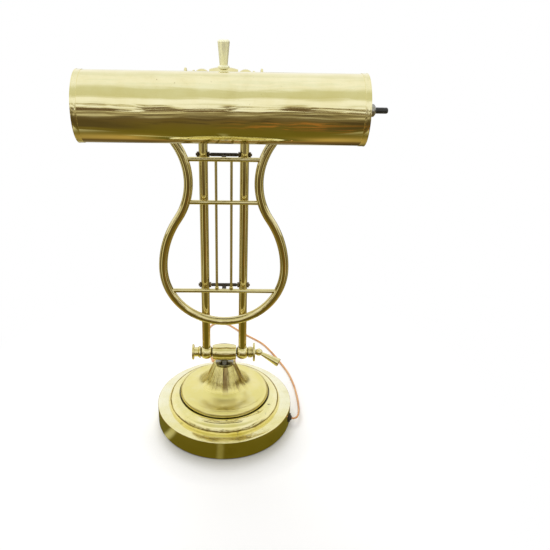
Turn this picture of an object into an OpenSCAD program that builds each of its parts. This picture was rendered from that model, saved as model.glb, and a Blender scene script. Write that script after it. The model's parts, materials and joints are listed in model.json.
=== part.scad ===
// Brass lyre desk lamp: a weighted foot, a tilting column of two tubes with a lyre, and a tilting trough shade.
// Origin at the centre of the felt's underside, +X along the shade, -Y towards the sitter, +Z up.

/* [Foot] */
// Diameter of the weighted drum
drum_d = 175; // [168:1:185]
// Height of the drum's flat top above the table
drum_h = 26; // [24:0.5:30]
// Wall of the spun brass shells
shell_wall = 1.2; // [0.9:0.1:1.5]
// Rounding of the drum's top edge
drum_edge_r = 1.5; // [0.5:0.1:2.5]
// Lift of the drum's rim off the table
rim_lift = 0.8; // [0.4:0.1:1.2]
// Outer diameter of the step ring
ring_d = 146; // [142:1:152]
// Height of the step ring above the drum
ring_h = 13; // [11:0.5:15]
// Depth of the seat that the bell stands in
seat_depth = 4; // [3:0.5:5]
// Outer diameter of the bell's rolled bead
bell_d = 115; // [110:1:117]
// Radius of the rolled bead
bead_r = 6.5; // [5:0.5:7.5]
// Diameter of the bell's neck
neck_d = 27; // [25:0.5:30]
// Height of the bell's neck above the table
neck_z = 84; // [80:1:86]
// Lean of the neck's straight flank off the vertical, in degrees
neck_lean = 24; // [18:1:28]
// Thickness of the plate that closes the neck
neck_plate = 2; // [1.5:0.5:3]
// Thickness of the felt pad
felt_t = 2; // [1.5:0.5:3]
// Thickness of the cast weight's floor
weight_t = 10; // [8:1:12]
// Width of the cast weight's raised rim
weight_rim = 8; // [6:1:10]
// Diameter of the threaded stud
stud_d = 9; // [8:0.5:10]
// Bore of the stud for the lead
stud_bore_d = 5; // [4:0.5:5.5]
// Diameter of the steel washer on the neck
washer_d = 23; // [20:0.5:24]
// Thickness of the steel washer
washer_t = 2; // [1.5:0.5:2.5]
// Width across corners of the nut under the weight
under_nut_d = 17; // [15:1:19]
// Height of the nut under the weight
under_nut_h = 4; // [3:0.5:4.5]

/* [Pivots] */
// Height of the lower pivot axis above the table
pivot_z = 99.5; // [98:0.5:104]
// Height of the upper pivot axis above the table
head_z = 440; // [430:1:455]
// Largest diameter of a pivot barrel
barrel_d = 22; // [20:0.5:24]
// Diameter of a pivot barrel at its ends
barrel_end_d = 17.4; // [15:0.2:18]
// Length of a pivot barrel
barrel_len = 30; // [28:0.5:31]
// Diameter of a ball knuckle
knuckle_d = 18; // [17:0.5:19.5]
// Diameter of a pivot bolt
bolt_d = 6; // [5:0.5:7]
// Diameter of the pivot bolt's tip in the lever
bolt_tip_d = 4; // [3:0.5:4.5]
// Outer face of the end caps from the middle of the lamp
cap_x = 41; // [39:0.5:43]
// Diameter of an end cap's flange
cap_d = 20; // [18:0.5:22]
// Thickness of an end cap's flange
cap_t = 2.5; // [2:0.5:3.5]
// Diameter of an end cap's neck
cap_neck_d = 12; // [10:0.5:13]
// Diameter of the right collar's flange
collar_d = 24; // [20:0.5:25]
// Diameter of the ball on the clamp lever
lever_ball_d = 9.5; // [8.5:0.5:11]
// Length of the clamp lever's taper
lever_len = 26; // [20:1:32]
// Diameter of the lever at the ball
lever_d1 = 4.6; // [4:0.2:6]
// Diameter of the lever at its end
lever_d2 = 10.8; // [9:0.2:12]
// Angle of the lever off the pivot axis, in degrees
lever_angle = 28.5; // [20:0.5:40]

/* [Column] */
// Distance between the upright tubes' centres
upright_gap = 45.6; // [44:0.2:47]
// Outer diameter of an upright tube
upright_d = 10; // [9:0.5:10.5]
// Wall of an upright tube
upright_wall = 1; // [0.8:0.1:1.2]
// Depth of an upright's socket above the knuckle's centre
socket_z = 3.8; // [3.6:0.1:5]
// Diameter of the tie rods
tie_d = 3; // [3:0.5:4.5]
// Width across corners of the tie rod nuts
tie_nut_d = 6.4; // [6:0.2:8.5]
// Thickness of the tie rod nuts
tie_nut_t = 2; // [2:0.5:3.5]
// Height of the tie rods above the lyre bars
tie_lift = 2; // [1:0.5:3]

/* [Lyre] */
// Distance of the lyre's plane in front of the uprights' centres
lyre_y = 12; // [11:0.5:14]
// Diameter of the lyre's bent tube
lyre_d = 10; // [9:0.5:11]
// Wall of the lyre's bent tube
lyre_wall = 1; // [0.8:0.1:1.5]
// Radius of the lyre's bowl
bowl_r = 71; // [66:0.5:76]
// Height of the bowl's centre above the table
bowl_z = 223.5; // [220:0.5:230]
// Half width of the lyre's neck
lyre_neck = 39; // [36:0.5:42]
// Height of the lyre's neck above the table
lyre_neck_z = 330; // [325:1:336]
// Radius of the bend at the lyre's neck
neck_bend_r = 80; // [70:1:90]
// Turn of the neck's bend above the neck, in degrees
arm_turn = 46; // [40:1:47]
// Diameter of the lyre bars
bar_d = 5; // [4:0.2:5.6]
// Height of the upper bar above the table
bar_upper_z = 356; // [350:1:362]
// Height of the middle bar above the table
bar_middle_z = 306.5; // [300:0.5:312]
// Height of the lower bar above the table
bar_lower_z = 194.5; // [188:0.5:200]
// Diameter of the strings
string_d = 2.6; // [2:0.1:3]
// Distance of each string from the middle
string_x = 8.5; // [7:0.5:10]
// Depth of a string's end in its bar
string_seat = 2; // [1.5:0.1:2.4]
// Diameter of the string ferrules
ferrule_d = 4.6; // [4:0.2:4.8]
// Height of the string ferrules
ferrule_h = 3.5; // [2.5:0.5:5]
// Width of the brackets between tie rods and bars
bracket_w = 24; // [20:1:26]
// Thickness of the brackets
bracket_t = 3; // [2:0.5:3.5]
// Diameter of the brackets' eyes
bracket_eye_d = 8; // [7:0.5:9]

/* [Shade] */
// Length of the shade
shade_len = 280; // [260:1:310]
// Outer diameter of the shade
shade_d = 69; // [66:0.5:71]
// Wall of the shade
shade_wall = 0.8; // [0.6:0.1:1.2]
// Distance of the shade's axis in front of the upper pivot
shade_reach = 55; // [53:0.5:60]
// Drop of the shade's axis below the upper pivot
shade_drop = 19.5; // [17:0.5:20.5]
// Front lip, in degrees below the horizontal
lip_front = 77; // [70:1:82]
// Back lip, in degrees over the top from the front
lip_back = 190; // [182:1:200]
// Diameter of the rolled hems
hem_d = 2.4; // [1.8:0.1:3]
// Width of the end caps' bands over the shade
band_w = 5; // [4:0.5:7]
// Thickness of the end caps
band_t = 0.7; // [0.5:0.1:1]
// Diameter of the stem that carries the shade
stem_d = 8; // [7:0.5:8.5]
// Diameter of the stem's collar
stem_collar_d = 12; // [10:0.5:13]
// Diameter of the stem's saddle against the shade
saddle_d = 18; // [16:0.5:19]
// Thickness of the saddle at its edge
saddle_t = 4; // [3:0.5:5]
// Bore of the stem for the lead
stem_bore_d = 4.4; // [3:0.2:4.8]
// Width across corners of the nut inside the shade
stem_nut_d = 14; // [12:0.5:15]
// Thickness of the nut inside the shade
stem_nut_t = 4; // [3:0.5:4.5]
// Length of the tilt handle above the barrel
handle_len = 27; // [24:1:34]
// Diameter of the tilt handle's waist
handle_d1 = 8.4; // [7.5:0.2:9]
// Diameter of the tilt handle's top
handle_d2 = 12.6; // [11:0.2:13.5]
// Diameter of the tilt handle's collar
handle_collar_d = 12; // [10:0.5:13]

/* [Lamp and switch] */
// Diameter of the tubular lamp
bulb_d = 30; // [25:1:32]
// Length of the tubular lamp's glass
bulb_len = 184; // [160:1:195]
// Wall of the lamp's glass
bulb_wall = 0.8; // [0.6:0.1:1]
// Diameter of the lamp's screw cap
lamp_cap_d = 14; // [13:0.5:15]
// Length of the lamp's screw cap
lamp_cap_len = 24; // [20:1:26]
// Diameter of the lampholder
holder_d = 25; // [22:0.5:27]
// Length of the lampholder
holder_len = 30; // [27:1:33]
// Length of the switch body behind the lampholder
switch_len = 18; // [15:1:20]
// Diameter of the switch bush
bush_d = 10; // [8:0.5:11]
// Reach of the switch bush outside the end cap
bush_out = 10; // [8:0.5:12]
// Width across corners of the switch nut
switch_nut_d = 14; // [13:0.5:15]
// Thickness of the switch nut
switch_nut_t = 4; // [3:0.5:5]
// Diameter of the switch washer
switch_washer_d = 16; // [14:0.5:18]
// Thickness of the switch washer
switch_washer_t = 1; // [0.6:0.1:1.5]
// Diameter of the ferrule outside the switch nut
bush_ferrule_d = 12.4; // [11.5:0.2:13]
// Diameter of the switch knob
knob_d = 6; // [5:0.2:7]
// Length of the switch knob
knob_len = 12.6; // [10:0.2:15]
// Diameter of the switch spindle
spindle_d = 4; // [3:0.2:4.4]

/* [Cord] */
// Diameter of the cord
cord_d = 2.6; // [2.4:0.1:2.8]
// Angle of the cord's exit in front of +X, in degrees
cord_angle = 13; // [10:1:16]
// Height of the cord's exit above the table
cord_z = 10; // [9:0.5:11]
// Diameter of the grommet's flanges
grommet_d = 12; // [10:0.5:13]
// Diameter of the grommet in the drum's wall
grommet_neck_d = 8; // [7:0.5:9]
// Reach of the grommet outside the drum
grommet_out = 3.5; // [2.5:0.5:5]
// Diameter of the inner leads
lead_d = 3.6; // [3:0.2:4]

/* [Fits] */
// Radial clearance of the running fits
run_fit = 0.05; // [0.02:0.01:0.09]
// Radial clearance of pieces that are fixed to each other
fix_fit = 0.03; // [0.01:0.01:0.06]
// Gap between faces that turn past each other
side_gap = 0.3; // [0.2:0.05:0.5]

/* [Hidden] */
$fn = 64;
brass = "goldenrod";
over = 1;

// Foot, worked out from the driving sizes
drum_r = drum_d / 2;
drum_in_r = drum_r - shell_wall;
ring_r = ring_d / 2;
ring_top = drum_h + ring_h;
ring_arc_r = ring_r - ring_h;
seat_gap = 1.6;
seat_r = bell_d / 2 + seat_gap;
seat_z = ring_top - seat_depth;
seat_w = 9;
seat_in_r = seat_r - seat_w;
weight_r = drum_in_r - 0.4;
weight_top = drum_h - shell_wall;
weight_floor = felt_t + weight_t;
under_nut_z = felt_t + 1;
under_pocket_d = under_nut_d + 5;
neck_r = neck_d / 2;
bead_top = seat_z + 12;
flare_x = bell_d / 2 - bead_r - 1;
neck_tan = tan(neck_lean);
flare_r = (flare_x - neck_r - neck_tan * (neck_z - bead_top))
          / (cos(neck_lean) - neck_tan * (1 - sin(neck_lean)));
washer_top = neck_z + washer_t;
stud_top = pivot_z - bolt_d / 2 - run_fit - 2;

// Pivots, worked out from the driving sizes
bolt_r = bolt_d / 2;
bolt_hole_r = bolt_r + run_fit;
barrel_sag = (barrel_d - barrel_end_d) / 2;
barrel_arc_r = (pow(barrel_len / 2, 2) + pow(barrel_sag, 2)) / (2 * barrel_sag);
knuckle_x = upright_gap / 2;
knuckle_in = barrel_len / 2 + side_gap;
knuckle_out = knuckle_x + 7.5;
collar_x = cap_x - 2;
lever_x = collar_x + side_gap;
lever_ball_x = lever_x + lever_ball_d / 2;
tip_x = lever_ball_x + 1.5;
socket_r = upright_d / 2 + fix_fit;

// Column and lyre, worked out from the driving sizes
tie_z = [bar_lower_z + tie_lift, bar_upper_z + tie_lift];
tie_half = knuckle_x + upright_d / 2 + tie_nut_t + 1.2;
lyre_step = bowl_r - lyre_neck;
lyre_rise = lyre_neck_z - bowl_z;
flank_r = (pow(lyre_step, 2) + pow(lyre_rise, 2)) / (2 * lyre_step) - neck_bend_r;
flank_x = bowl_r - flank_r;
bend_x = lyre_neck + neck_bend_r;
flank_turn = atan2(lyre_rise, bend_x - flank_x);
arm_end = [bend_x - neck_bend_r * cos(arm_turn), lyre_neck_z + neck_bend_r * sin(arm_turn)];

// Shade and lamp, worked out from the driving sizes
shade_r = shade_d / 2;
shade_in_r = shade_r - shade_wall;
shade_y = -shade_reach;
shade_z = head_z - shade_drop;
stem_tilt = 90 + atan2(shade_drop, shade_reach);
stem_len = norm([shade_reach, shade_drop]);
shade_turn = lip_front + lip_back;
shade_start = 180 - lip_back;
mouth_half = (360 - shade_turn) / 2;
mouth_depth = shade_r * cos(mouth_half);
end_x = shade_len / 2;
cap_plate = band_t;
switch_x = end_x - switch_len;
holder_x = switch_x - holder_len;
lamp_seat_x = switch_x - 4;
glass_x = holder_x - 1.5;
lead_r_in_shade = shade_in_r - stem_nut_t - 3.5;

// Cord, worked out from the driving sizes, and its route in millimetres
cord_r = cord_d / 2;
exit_r = drum_r + grommet_out;
exit_point = [exit_r * cos(cord_angle), -exit_r * sin(cord_angle), cord_z];
exit_way = [cos(cord_angle), -sin(cord_angle), 0];
coil_x = -3;
coil_y = 107;
coil_layers = 6;
coil_turns = 2;
coil_step = 1.2 * cord_d;
coil_in_r = 3.8 * cord_d;
coil_out_r = coil_in_r + coil_turns * coil_step;
coil_rise = cord_d + 0.5;
coil_z = cord_r + 0.9;
loop_rings = 24;
tail_run = 16;
tail_fold_r = 3.1 * cord_d;
tie_wall = 0.6;
tie_w = 4;
coil_last_z = coil_z + (coil_layers - 1) * coil_rise;
tie_top = coil_last_z + cord_r + 0.2 + tie_wall;
plug_x = coil_x + coil_out_r - 2 * tail_fold_r;
plug_z = tie_top + 0.3;
plug_entry_z = plug_z + 3;
plug_rear = coil_y + tail_run - 1;
plug_len = 20;
plug_w = 20;
plug_h = 10;
pin_len = 14;
route = [
    exit_point, exit_point + 3 * exit_way, [94.6, -19.6, 10], [97, -15.6, 9.8], [98.6, -9.5, 9.2],
    [99.6, -2, 8], [100.3, 7, 6.2], [100.7, 17, 4.2], [100.8, 28, 2.5], [100.2, 42, 1.6], [97.6, 66, 1.5],
    [91.5, 94, 1.5], [81.5, 121, 1.5], [70, 148, 1.5], [57, 172, 1.5], [42, 188.5, 1.5], [29, 201, 1.5],
    [17, 214, 1.5], [7, 226, 1.5], [-3, 234.5, 1.5], [-14, 237, 1.5], [-24, 231.5, 1.5], [-29.5, 221, 1.5],
    [-30.5, 208, 1.5], [-30, 190, 1.5], [-29, 172, 1.5], [-26.6, 154, 1.5], [-23.6, 138, 1.6], [-20.6, 124, 1.9],
    [coil_x - coil_out_r, coil_y + 6, coil_z], [coil_x - coil_out_r, coil_y, coil_z]
];
ring_step = 6.2;

// Helpers
function arc(c, r, a0, a1, n) = [for (i = [0:n]) c + r * [cos(a0 + (a1 - a0) * i / n), sin(a0 + (a1 - a0) * i / n)]];
function unit(v) = v / norm(v);
function blend01(t) = let (s = min(1, max(0, t))) s * s * (3 - 2 * s);
function spline_point(a, b, c, d, t) =
    0.5 * (2 * b + (c - a) * t + (2 * a - 5 * b + 4 * c - d) * t * t + (3 * b - a - 3 * c + d) * t * t * t);
function spline(p, step) = concat([for (i = [0:len(p) - 2])
    let (a = p[max(0, i - 1)], b = p[i], c = p[i + 1], d = p[min(len(p) - 1, i + 2)],
         n = max(1, round(norm(c - b) / step)))
    for (j = [0:n - 1]) spline_point(a, b, c, d, j / n)], [p[len(p) - 1]]);
function path_length(p) = len(p) < 2 ? 0 : [for (i = [0:len(p) - 2]) norm(p[i + 1] - p[i])] * [for (i = [0:len(p) - 2]) 1];

// Local X, Y and Z become Y, Z and X, so a turned profile lies along the shade
module along_x() { rotate([90, 0, 90]) children(); }
module at_base() { translate([0, 0, pivot_z]) children(); }
module at_head() { translate([0, 0, head_z]) children(); }
module at_shade() { translate([0, shade_y, shade_z]) along_x() children(); }
module at_exit() { rotate([0, 0, -cord_angle]) translate([0, 0, cord_z]) rotate([0, 90, 0]) children(); }
module hex(d, h) { cylinder(d = d, h = h, $fn = 6); }

// Tube swept along points, with triangular faces
module swept_tube(p, r, sides) {
    n = len(p);
    rings = [for (i = [0:n - 1])
        let (t = unit(p[min(n - 1, i + 1)] - p[max(0, i - 1)]), s = unit(cross(t, [0, 0, 1])), u = cross(s, t))
        for (k = [0:sides - 1]) p[i] + r * (cos(360 * k / sides) * s + sin(360 * k / sides) * u)];
    last = (n - 1) * sides;
    walls = [for (i = [0:n - 2], k = [0:sides - 1])
        let (a = i * sides + k, b = i * sides + (k + 1) % sides)
        each [[a, b + sides, a + sides], [a, b, b + sides]]];
    caps = [for (k = [1:sides - 2]) each [[0, k + 1, k], [last, last + k, last + k + 1]]];
    polyhedron(points = rings, faces = concat(walls, caps), convexity = 10);
}

// Foot
module base_felt() {
    color("darkgreen") cylinder(r = weight_r - 1.5, h = felt_t);
}

module base_weight() {
    color("dimgray") difference() {
        rotate_extrude() polygon([[stud_d / 2 + 0.3, felt_t], [weight_r, felt_t], [weight_r, weight_top],
            [weight_r - weight_rim, weight_top], [weight_r - weight_rim, weight_floor],
            [stud_d / 2 + 0.3, weight_floor]]);
        translate([0, 0, felt_t - over]) cylinder(d = under_pocket_d, h = under_nut_h + 1 + over);
        rotate([0, 0, -cord_angle]) translate([0, -grommet_d / 2 - 0.4, cord_z - lead_d / 2 - 0.2])
            cube([drum_r, grommet_d + 0.8, drum_h]);
        rotate([0, 0, -cord_angle]) translate([weight_r - weight_rim, -grommet_d / 2 - 0.4, cord_z - grommet_d / 2 - 0.4])
            cube([drum_r, grommet_d + 0.8, drum_h]);
    }
}

module base_drum() {
    edge = [drum_r - drum_edge_r, drum_h - drum_edge_r];
    color(brass) difference() {
        rotate_extrude($fn = 128) polygon(concat([[drum_r, rim_lift]], arc(edge, drum_edge_r, 0, 90, 6),
            [[seat_in_r + 4, drum_h], [seat_in_r + 4, weight_top], [drum_in_r, weight_top], [drum_in_r, rim_lift]]));
        at_exit() translate([0, 0, drum_r - 5]) cylinder(d = grommet_neck_d + 2 * fix_fit, h = 10);
    }
}

module base_step_ring() {
    w = shell_wall;
    wall_r = seat_r + w;
    in_r = ring_h - w;
    in_turn = acos((wall_r - ring_arc_r) / in_r);
    color(brass) rotate_extrude($fn = 128) polygon(concat(
        arc([ring_arc_r, drum_h], ring_h, 0, 90, 12),
        [[seat_r, ring_top], [seat_r, seat_z], [seat_in_r, seat_z], [seat_in_r, seat_z - w], [wall_r, seat_z - w]],
        arc([ring_arc_r, drum_h], in_r, in_turn, 0, 12)));
}

module base_bell() {
    w = shell_wall;
    bead_c = [bell_d / 2 - bead_r, bead_top - bead_r];
    flare_c = [flare_x, bead_top + flare_r];
    outer = concat([[bell_d / 2, seat_z]], arc(bead_c, bead_r, 0, 90, 8),
        arc(flare_c, flare_r, 270, 180 + neck_lean, 14), [[neck_r, neck_z]]);
    lean = w / cos(neck_lean);
    inner = concat([[neck_r + neck_plate * neck_tan - lean, neck_z - neck_plate]],
        arc(flare_c, flare_r + w, 180 + neck_lean, 270, 14), arc(bead_c, bead_r - w, 90, 0, 8),
        [[bell_d / 2 - w, seat_z]]);
    hole_r = stud_d / 2 + 0.3;
    color(brass) rotate_extrude($fn = 128)
        polygon(concat(outer, [[hole_r, neck_z], [hole_r, neck_z - neck_plate]], inner));
}

module base_stud() {
    color("silver") difference() {
        translate([0, 0, under_nut_z]) cylinder(d = stud_d, h = stud_top - under_nut_z);
        translate([0, 0, under_nut_z - over]) cylinder(d = stud_bore_d, h = stud_top);
    }
}

module base_under_nut() {
    color("silver") translate([0, 0, under_nut_z]) difference() {
        hex(under_nut_d, under_nut_h);
        translate([0, 0, -over]) cylinder(d = stud_d + 2 * fix_fit, h = under_nut_h + 2 * over);
    }
}

module neck_washer() {
    r = washer_d / 2;
    bevel = 0.7;
    color("dimgray") rotate_extrude() polygon([[stud_d / 2 + fix_fit, neck_z], [r - bevel, neck_z], [r, neck_z + bevel],
        [r, washer_top - bevel / 2], [r - bevel, washer_top], [stud_d / 2 + fix_fit, washer_top]]);
}

// Barrel that swells to its middle, bored for the pivot bolt
module barrel_form() {
    along_x() rotate_extrude() intersection() {
        translate([barrel_d / 2 - barrel_arc_r, 0]) circle(r = barrel_arc_r, $fn = 200);
        translate([bolt_hole_r, -barrel_len / 2]) square([barrel_d, barrel_len]);
    }
}

module base_barrel() {
    color(brass) difference() {
        at_base() barrel_form();
        translate([0, 0, washer_top - over]) cylinder(r = stud_d / 2 + fix_fit, h = stud_top - washer_top + over);
    }
}

module cord_grommet() {
    in_face = sqrt(pow(drum_in_r, 2) - pow(grommet_d / 2, 2)) - 0.05;
    in_t = 1.6;
    out_t = 1.5;
    color("black") at_exit() rotate_extrude() polygon([[cord_r + 0.1, in_face - in_t], [grommet_d / 2, in_face - in_t],
        [grommet_d / 2, in_face], [grommet_neck_d / 2, in_face], [grommet_neck_d / 2, drum_r + 0.02],
        [grommet_d / 2, drum_r + 0.02], [grommet_d / 2, drum_r + out_t], [grommet_neck_d / 2, drum_r + out_t],
        [cord_r + 1, exit_r], [cord_r + 0.1, exit_r]]);
}

module base_lead() {
    start = stud_d / 2 + 0.2;
    in_face = sqrt(pow(drum_in_r, 2) - pow(grommet_d / 2, 2)) - 1.65;
    color("sienna") at_exit() translate([0, 0, start]) cylinder(d = lead_d, h = in_face - start, $fn = 24);
}

// Column
// Ball knuckle with a bolt hole and an upright's socket, which opens up (1) or down (-1)
module knuckle_form(x_side, z_side) {
    translate([x_side * knuckle_x, 0, 0]) difference() {
        sphere(d = knuckle_d);
        along_x() translate([0, 0, -knuckle_d]) cylinder(r = bolt_r + fix_fit, h = 2 * knuckle_d);
        translate([0, 0, z_side > 0 ? socket_z : -socket_z - knuckle_d]) cylinder(r = socket_r, h = knuckle_d);
        for (cut = [[-1, knuckle_x - knuckle_in], [1, knuckle_out - knuckle_x]])
            translate([x_side * cut[0] * (cut[1] + knuckle_d / 2), 0, 0]) cube(knuckle_d, center = true);
    }
}

module base_knuckle_left() { color(brass) at_base() knuckle_form(-1, 1); }
module base_knuckle_right() { color(brass) at_base() knuckle_form(1, 1); }
module head_knuckle_left() { color(brass) at_head() knuckle_form(-1, -1); }
module head_knuckle_right() { color(brass) at_head() knuckle_form(1, -1); }

// End cap with a blind bolt hole, drawn for the right end
module end_cap_form() {
    neck_r = cap_neck_d / 2;
    flange_x = cap_x - cap_t;
    bead = 1.6;
    along_x() rotate_extrude() polygon(concat(
        [[bolt_r + fix_fit, knuckle_out], [neck_r + bead, knuckle_out], [neck_r + bead, knuckle_out + bead],
         [neck_r, knuckle_out + 2 * bead], [neck_r, flange_x]],
        arc([cap_d / 2 - cap_t / 2, flange_x + cap_t / 2], cap_t / 2, -90, 90, 8),
        [[0, cap_x], [0, cap_x - 1.2], [bolt_r + fix_fit, cap_x - 1.2]]));
}

module base_cap() { color(brass) at_base() mirror([1, 0, 0]) end_cap_form(); }
module head_cap_left() { color(brass) at_head() mirror([1, 0, 0]) end_cap_form(); }
module head_cap_right() { color(brass) at_head() end_cap_form(); }

module base_collar() {
    neck_r = cap_neck_d / 2;
    bead = 1.2;
    flange_x = collar_x - cap_t;
    hole_r = bolt_r + fix_fit;
    color(brass) at_base() along_x() rotate_extrude() polygon(concat([[hole_r, knuckle_out], [neck_r, knuckle_out]],
        arc([neck_r, knuckle_out + bead], bead, -90, 90, 8), arc([neck_r, knuckle_out + 3 * bead], bead, -90, 90, 8),
        [[neck_r, flange_x]], arc([collar_d / 2 - cap_t / 2, flange_x + cap_t / 2], cap_t / 2, -90, 90, 8),
        [[hole_r, collar_x]]));
}

module base_bolt() {
    left_x = cap_x - 1.4;
    color("silver") at_base() along_x() {
        translate([0, 0, -left_x]) cylinder(d = bolt_d, h = left_x + collar_x);
        cylinder(d = bolt_tip_d, h = tip_x);
    }
}

module head_bolt() {
    half = cap_x - 1.4;
    color("silver") at_head() along_x() translate([0, 0, -half]) cylinder(d = bolt_d, h = 2 * half);
}

module clamp_lever() {
    color(brass) at_base() difference() {
        union() {
            translate([lever_ball_x, 0, 0]) sphere(d = lever_ball_d);
            translate([lever_x, 0, 0]) along_x() cylinder(d = bolt_tip_d + 2.4, h = lever_ball_d / 2);
            translate([lever_ball_x, 0, 0]) rotate([45, 0, 0]) rotate([0, 0, -lever_angle]) along_x()
                translate([0, 0, lever_ball_d / 3]) cylinder(d1 = lever_d1, d2 = lever_d2, h = lever_len);
        }
        along_x() cylinder(r = bolt_tip_d / 2 + run_fit, h = tip_x + 0.4);
    }
}

module upright_form(side) {
    r = upright_d / 2;
    low = pivot_z + socket_z + fix_fit;
    high = head_z - socket_z - fix_fit;
    translate([side * knuckle_x, 0, 0]) difference() {
        translate([0, 0, low]) cylinder(r = r, h = high - low);
        translate([0, 0, low - over]) cylinder(r = r - upright_wall, h = high - low + 2 * over);
        for (z = tie_z) translate([-upright_d, 0, z]) along_x() cylinder(r = tie_d / 2 + fix_fit, h = 2 * upright_d);
    }
}

module upright_left() { color(brass) upright_form(-1); }
module upright_right() { color(brass) upright_form(1); }

// Lead in the right upright, drawn aside past the tie rods
module upright_lead() {
    low = pivot_z + socket_z + 0.2;
    side_y = upright_d / 2 - upright_wall - 1.3;
    color("sienna") translate([knuckle_x, side_y, low]) cylinder(d = 1.8, h = head_z - socket_z - 0.2 - low, $fn = 24);
}

// Tube bent in a circle about a centre in the lyre's plane, from one angle to another
module bend(c, r, a0, a1, d, wall) {
    translate([c[0], -lyre_y, c[1]]) rotate([90, 0, 0]) rotate([0, 0, min(a0, a1)])
        rotate_extrude(angle = abs(a1 - a0), $fn = 96) translate([r, 0]) difference() {
            circle(d = d, $fn = 48);
            if (wall > 0) circle(d = d - 2 * wall, $fn = 48);
        }
}

// One arm of the lyre above its bowl, drawn on the right
module lyre_arm(d, wall) {
    bend([flank_x, bowl_z], flank_r, 0, flank_turn, d, wall);
    bend([bend_x, lyre_neck_z], neck_bend_r, 180 - arm_turn, 180 + flank_turn, d, wall);
}

module lyre_form(d, wall) {
    bend([0, bowl_z], bowl_r, 180, 360, d, wall);
    lyre_arm(d, wall);
    mirror([1, 0, 0]) lyre_arm(d, wall);
}

module lyre_frame() {
    color(brass) {
        lyre_form(lyre_d, lyre_wall);
        for (side = [-1, 1]) translate([side * arm_end[0], -lyre_y, arm_end[1]]) sphere(d = lyre_d, $fn = 48);
    }
}

// Bar across the lyre, coped to the arms
module bar_form(z, half) {
    difference() {
        translate([-half, -lyre_y, z]) along_x() cylinder(d = bar_d, h = 2 * half, $fn = 32);
        lyre_form(lyre_d + 2 * fix_fit, 0);
    }
}

function neck_half(z) = bend_x - sqrt(pow(neck_bend_r, 2) - pow(z - lyre_neck_z, 2));
function bowl_half(z) = sqrt(pow(bowl_r, 2) - pow(bowl_z - z, 2));

module string_holes(z0, z1) {
    for (side = [-1, 1]) translate([side * string_x, -lyre_y, z0]) cylinder(r = string_d / 2 + fix_fit, h = z1 - z0);
}

module lyre_bar_upper() {
    color(brass) difference() {
        bar_form(bar_upper_z, neck_half(bar_upper_z));
        string_holes(bar_upper_z - bar_d, bar_upper_z - bar_d / 2 + string_seat);
    }
}

module lyre_bar_middle() {
    color(brass) difference() {
        bar_form(bar_middle_z, neck_half(bar_middle_z));
        string_holes(bar_middle_z - bar_d, bar_middle_z + bar_d);
    }
}

module lyre_bar_lower() {
    color(brass) difference() {
        bar_form(bar_lower_z, bowl_half(bar_lower_z));
        string_holes(bar_lower_z + bar_d / 2 - string_seat, bar_lower_z + bar_d);
    }
}

module lyre_strings() {
    low = bar_lower_z + bar_d / 2 - string_seat + fix_fit;
    high = bar_upper_z - bar_d / 2 + string_seat - fix_fit;
    color(brass) for (side = [-1, 1]) translate([side * string_x, -lyre_y, low])
        cylinder(d = string_d, h = high - low, $fn = 24);
}

module string_ferrules() {
    low = bar_lower_z + bar_d / 2 - 0.8;
    color(brass) difference() {
        for (side = [-1, 1]) translate([side * string_x, -lyre_y, low]) cylinder(d = ferrule_d, h = ferrule_h, $fn = 32);
        string_holes(low - over, low + ferrule_h + over);
        translate([-bowl_r, -lyre_y, bar_lower_z]) along_x() cylinder(d = bar_d + 2 * fix_fit, h = 2 * bowl_r, $fn = 32);
    }
}

module tie_rod_form(z) {
    color("darkslategray") translate([-tie_half, 0, z]) along_x() cylinder(d = tie_d, h = 2 * tie_half, $fn = 32);
}

module tie_rod_upper() { tie_rod_form(tie_z[1]); }
module tie_rod_lower() { tie_rod_form(tie_z[0]); }

module tie_nuts() {
    places = [knuckle_x + upright_d / 2 + fix_fit, knuckle_x - upright_d / 2 - tie_nut_t - fix_fit];
    color("darkslategray") for (z = tie_z, side = [0, 1], x = places) mirror([side, 0, 0]) translate([x, 0, z])
        along_x() difference() {
            hex(tie_nut_d, tie_nut_t);
            translate([0, 0, -over]) cylinder(r = tie_d / 2 + fix_fit, h = tie_nut_t + 2 * over, $fn = 32);
        }
}

// Bracket with an eye on a tie rod and a plate that reaches a lyre bar
module bracket_form(bar_z, rod_z) {
    color(brass) difference() {
        translate([-bracket_w / 2, 0, rod_z]) along_x() union() {
            cylinder(d = bracket_eye_d, h = bracket_w, $fn = 32);
            translate([-lyre_y, bar_z - rod_z, 0]) square_plate();
        }
        translate([-bracket_w, 0, rod_z]) along_x() cylinder(r = tie_d / 2 + fix_fit, h = 2 * bracket_w, $fn = 32);
        translate([-bracket_w, -lyre_y, bar_z]) along_x() cylinder(d = bar_d + 2 * fix_fit, h = 2 * bracket_w, $fn = 32);
    }
}

module square_plate() {
    translate([0, -bracket_t / 2, 0]) cube([lyre_y, bracket_t, bracket_w]);
}

module lyre_bracket_upper() { bracket_form(bar_upper_z, tie_z[1]); }
module lyre_bracket_lower() { bracket_form(bar_lower_z, tie_z[0]); }

// Head
module head_barrel() {
    color(brass) at_head() difference() {
        barrel_form();
        rotate([stem_tilt, 0, 0]) translate([0, 0, bolt_hole_r + 1.5]) cylinder(d = stem_d + 2 * fix_fit, h = barrel_d);
        translate([0, 0, bolt_hole_r + 1.5]) cylinder(d = stem_d - 2 + 2 * fix_fit, h = barrel_d);
    }
}

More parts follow.
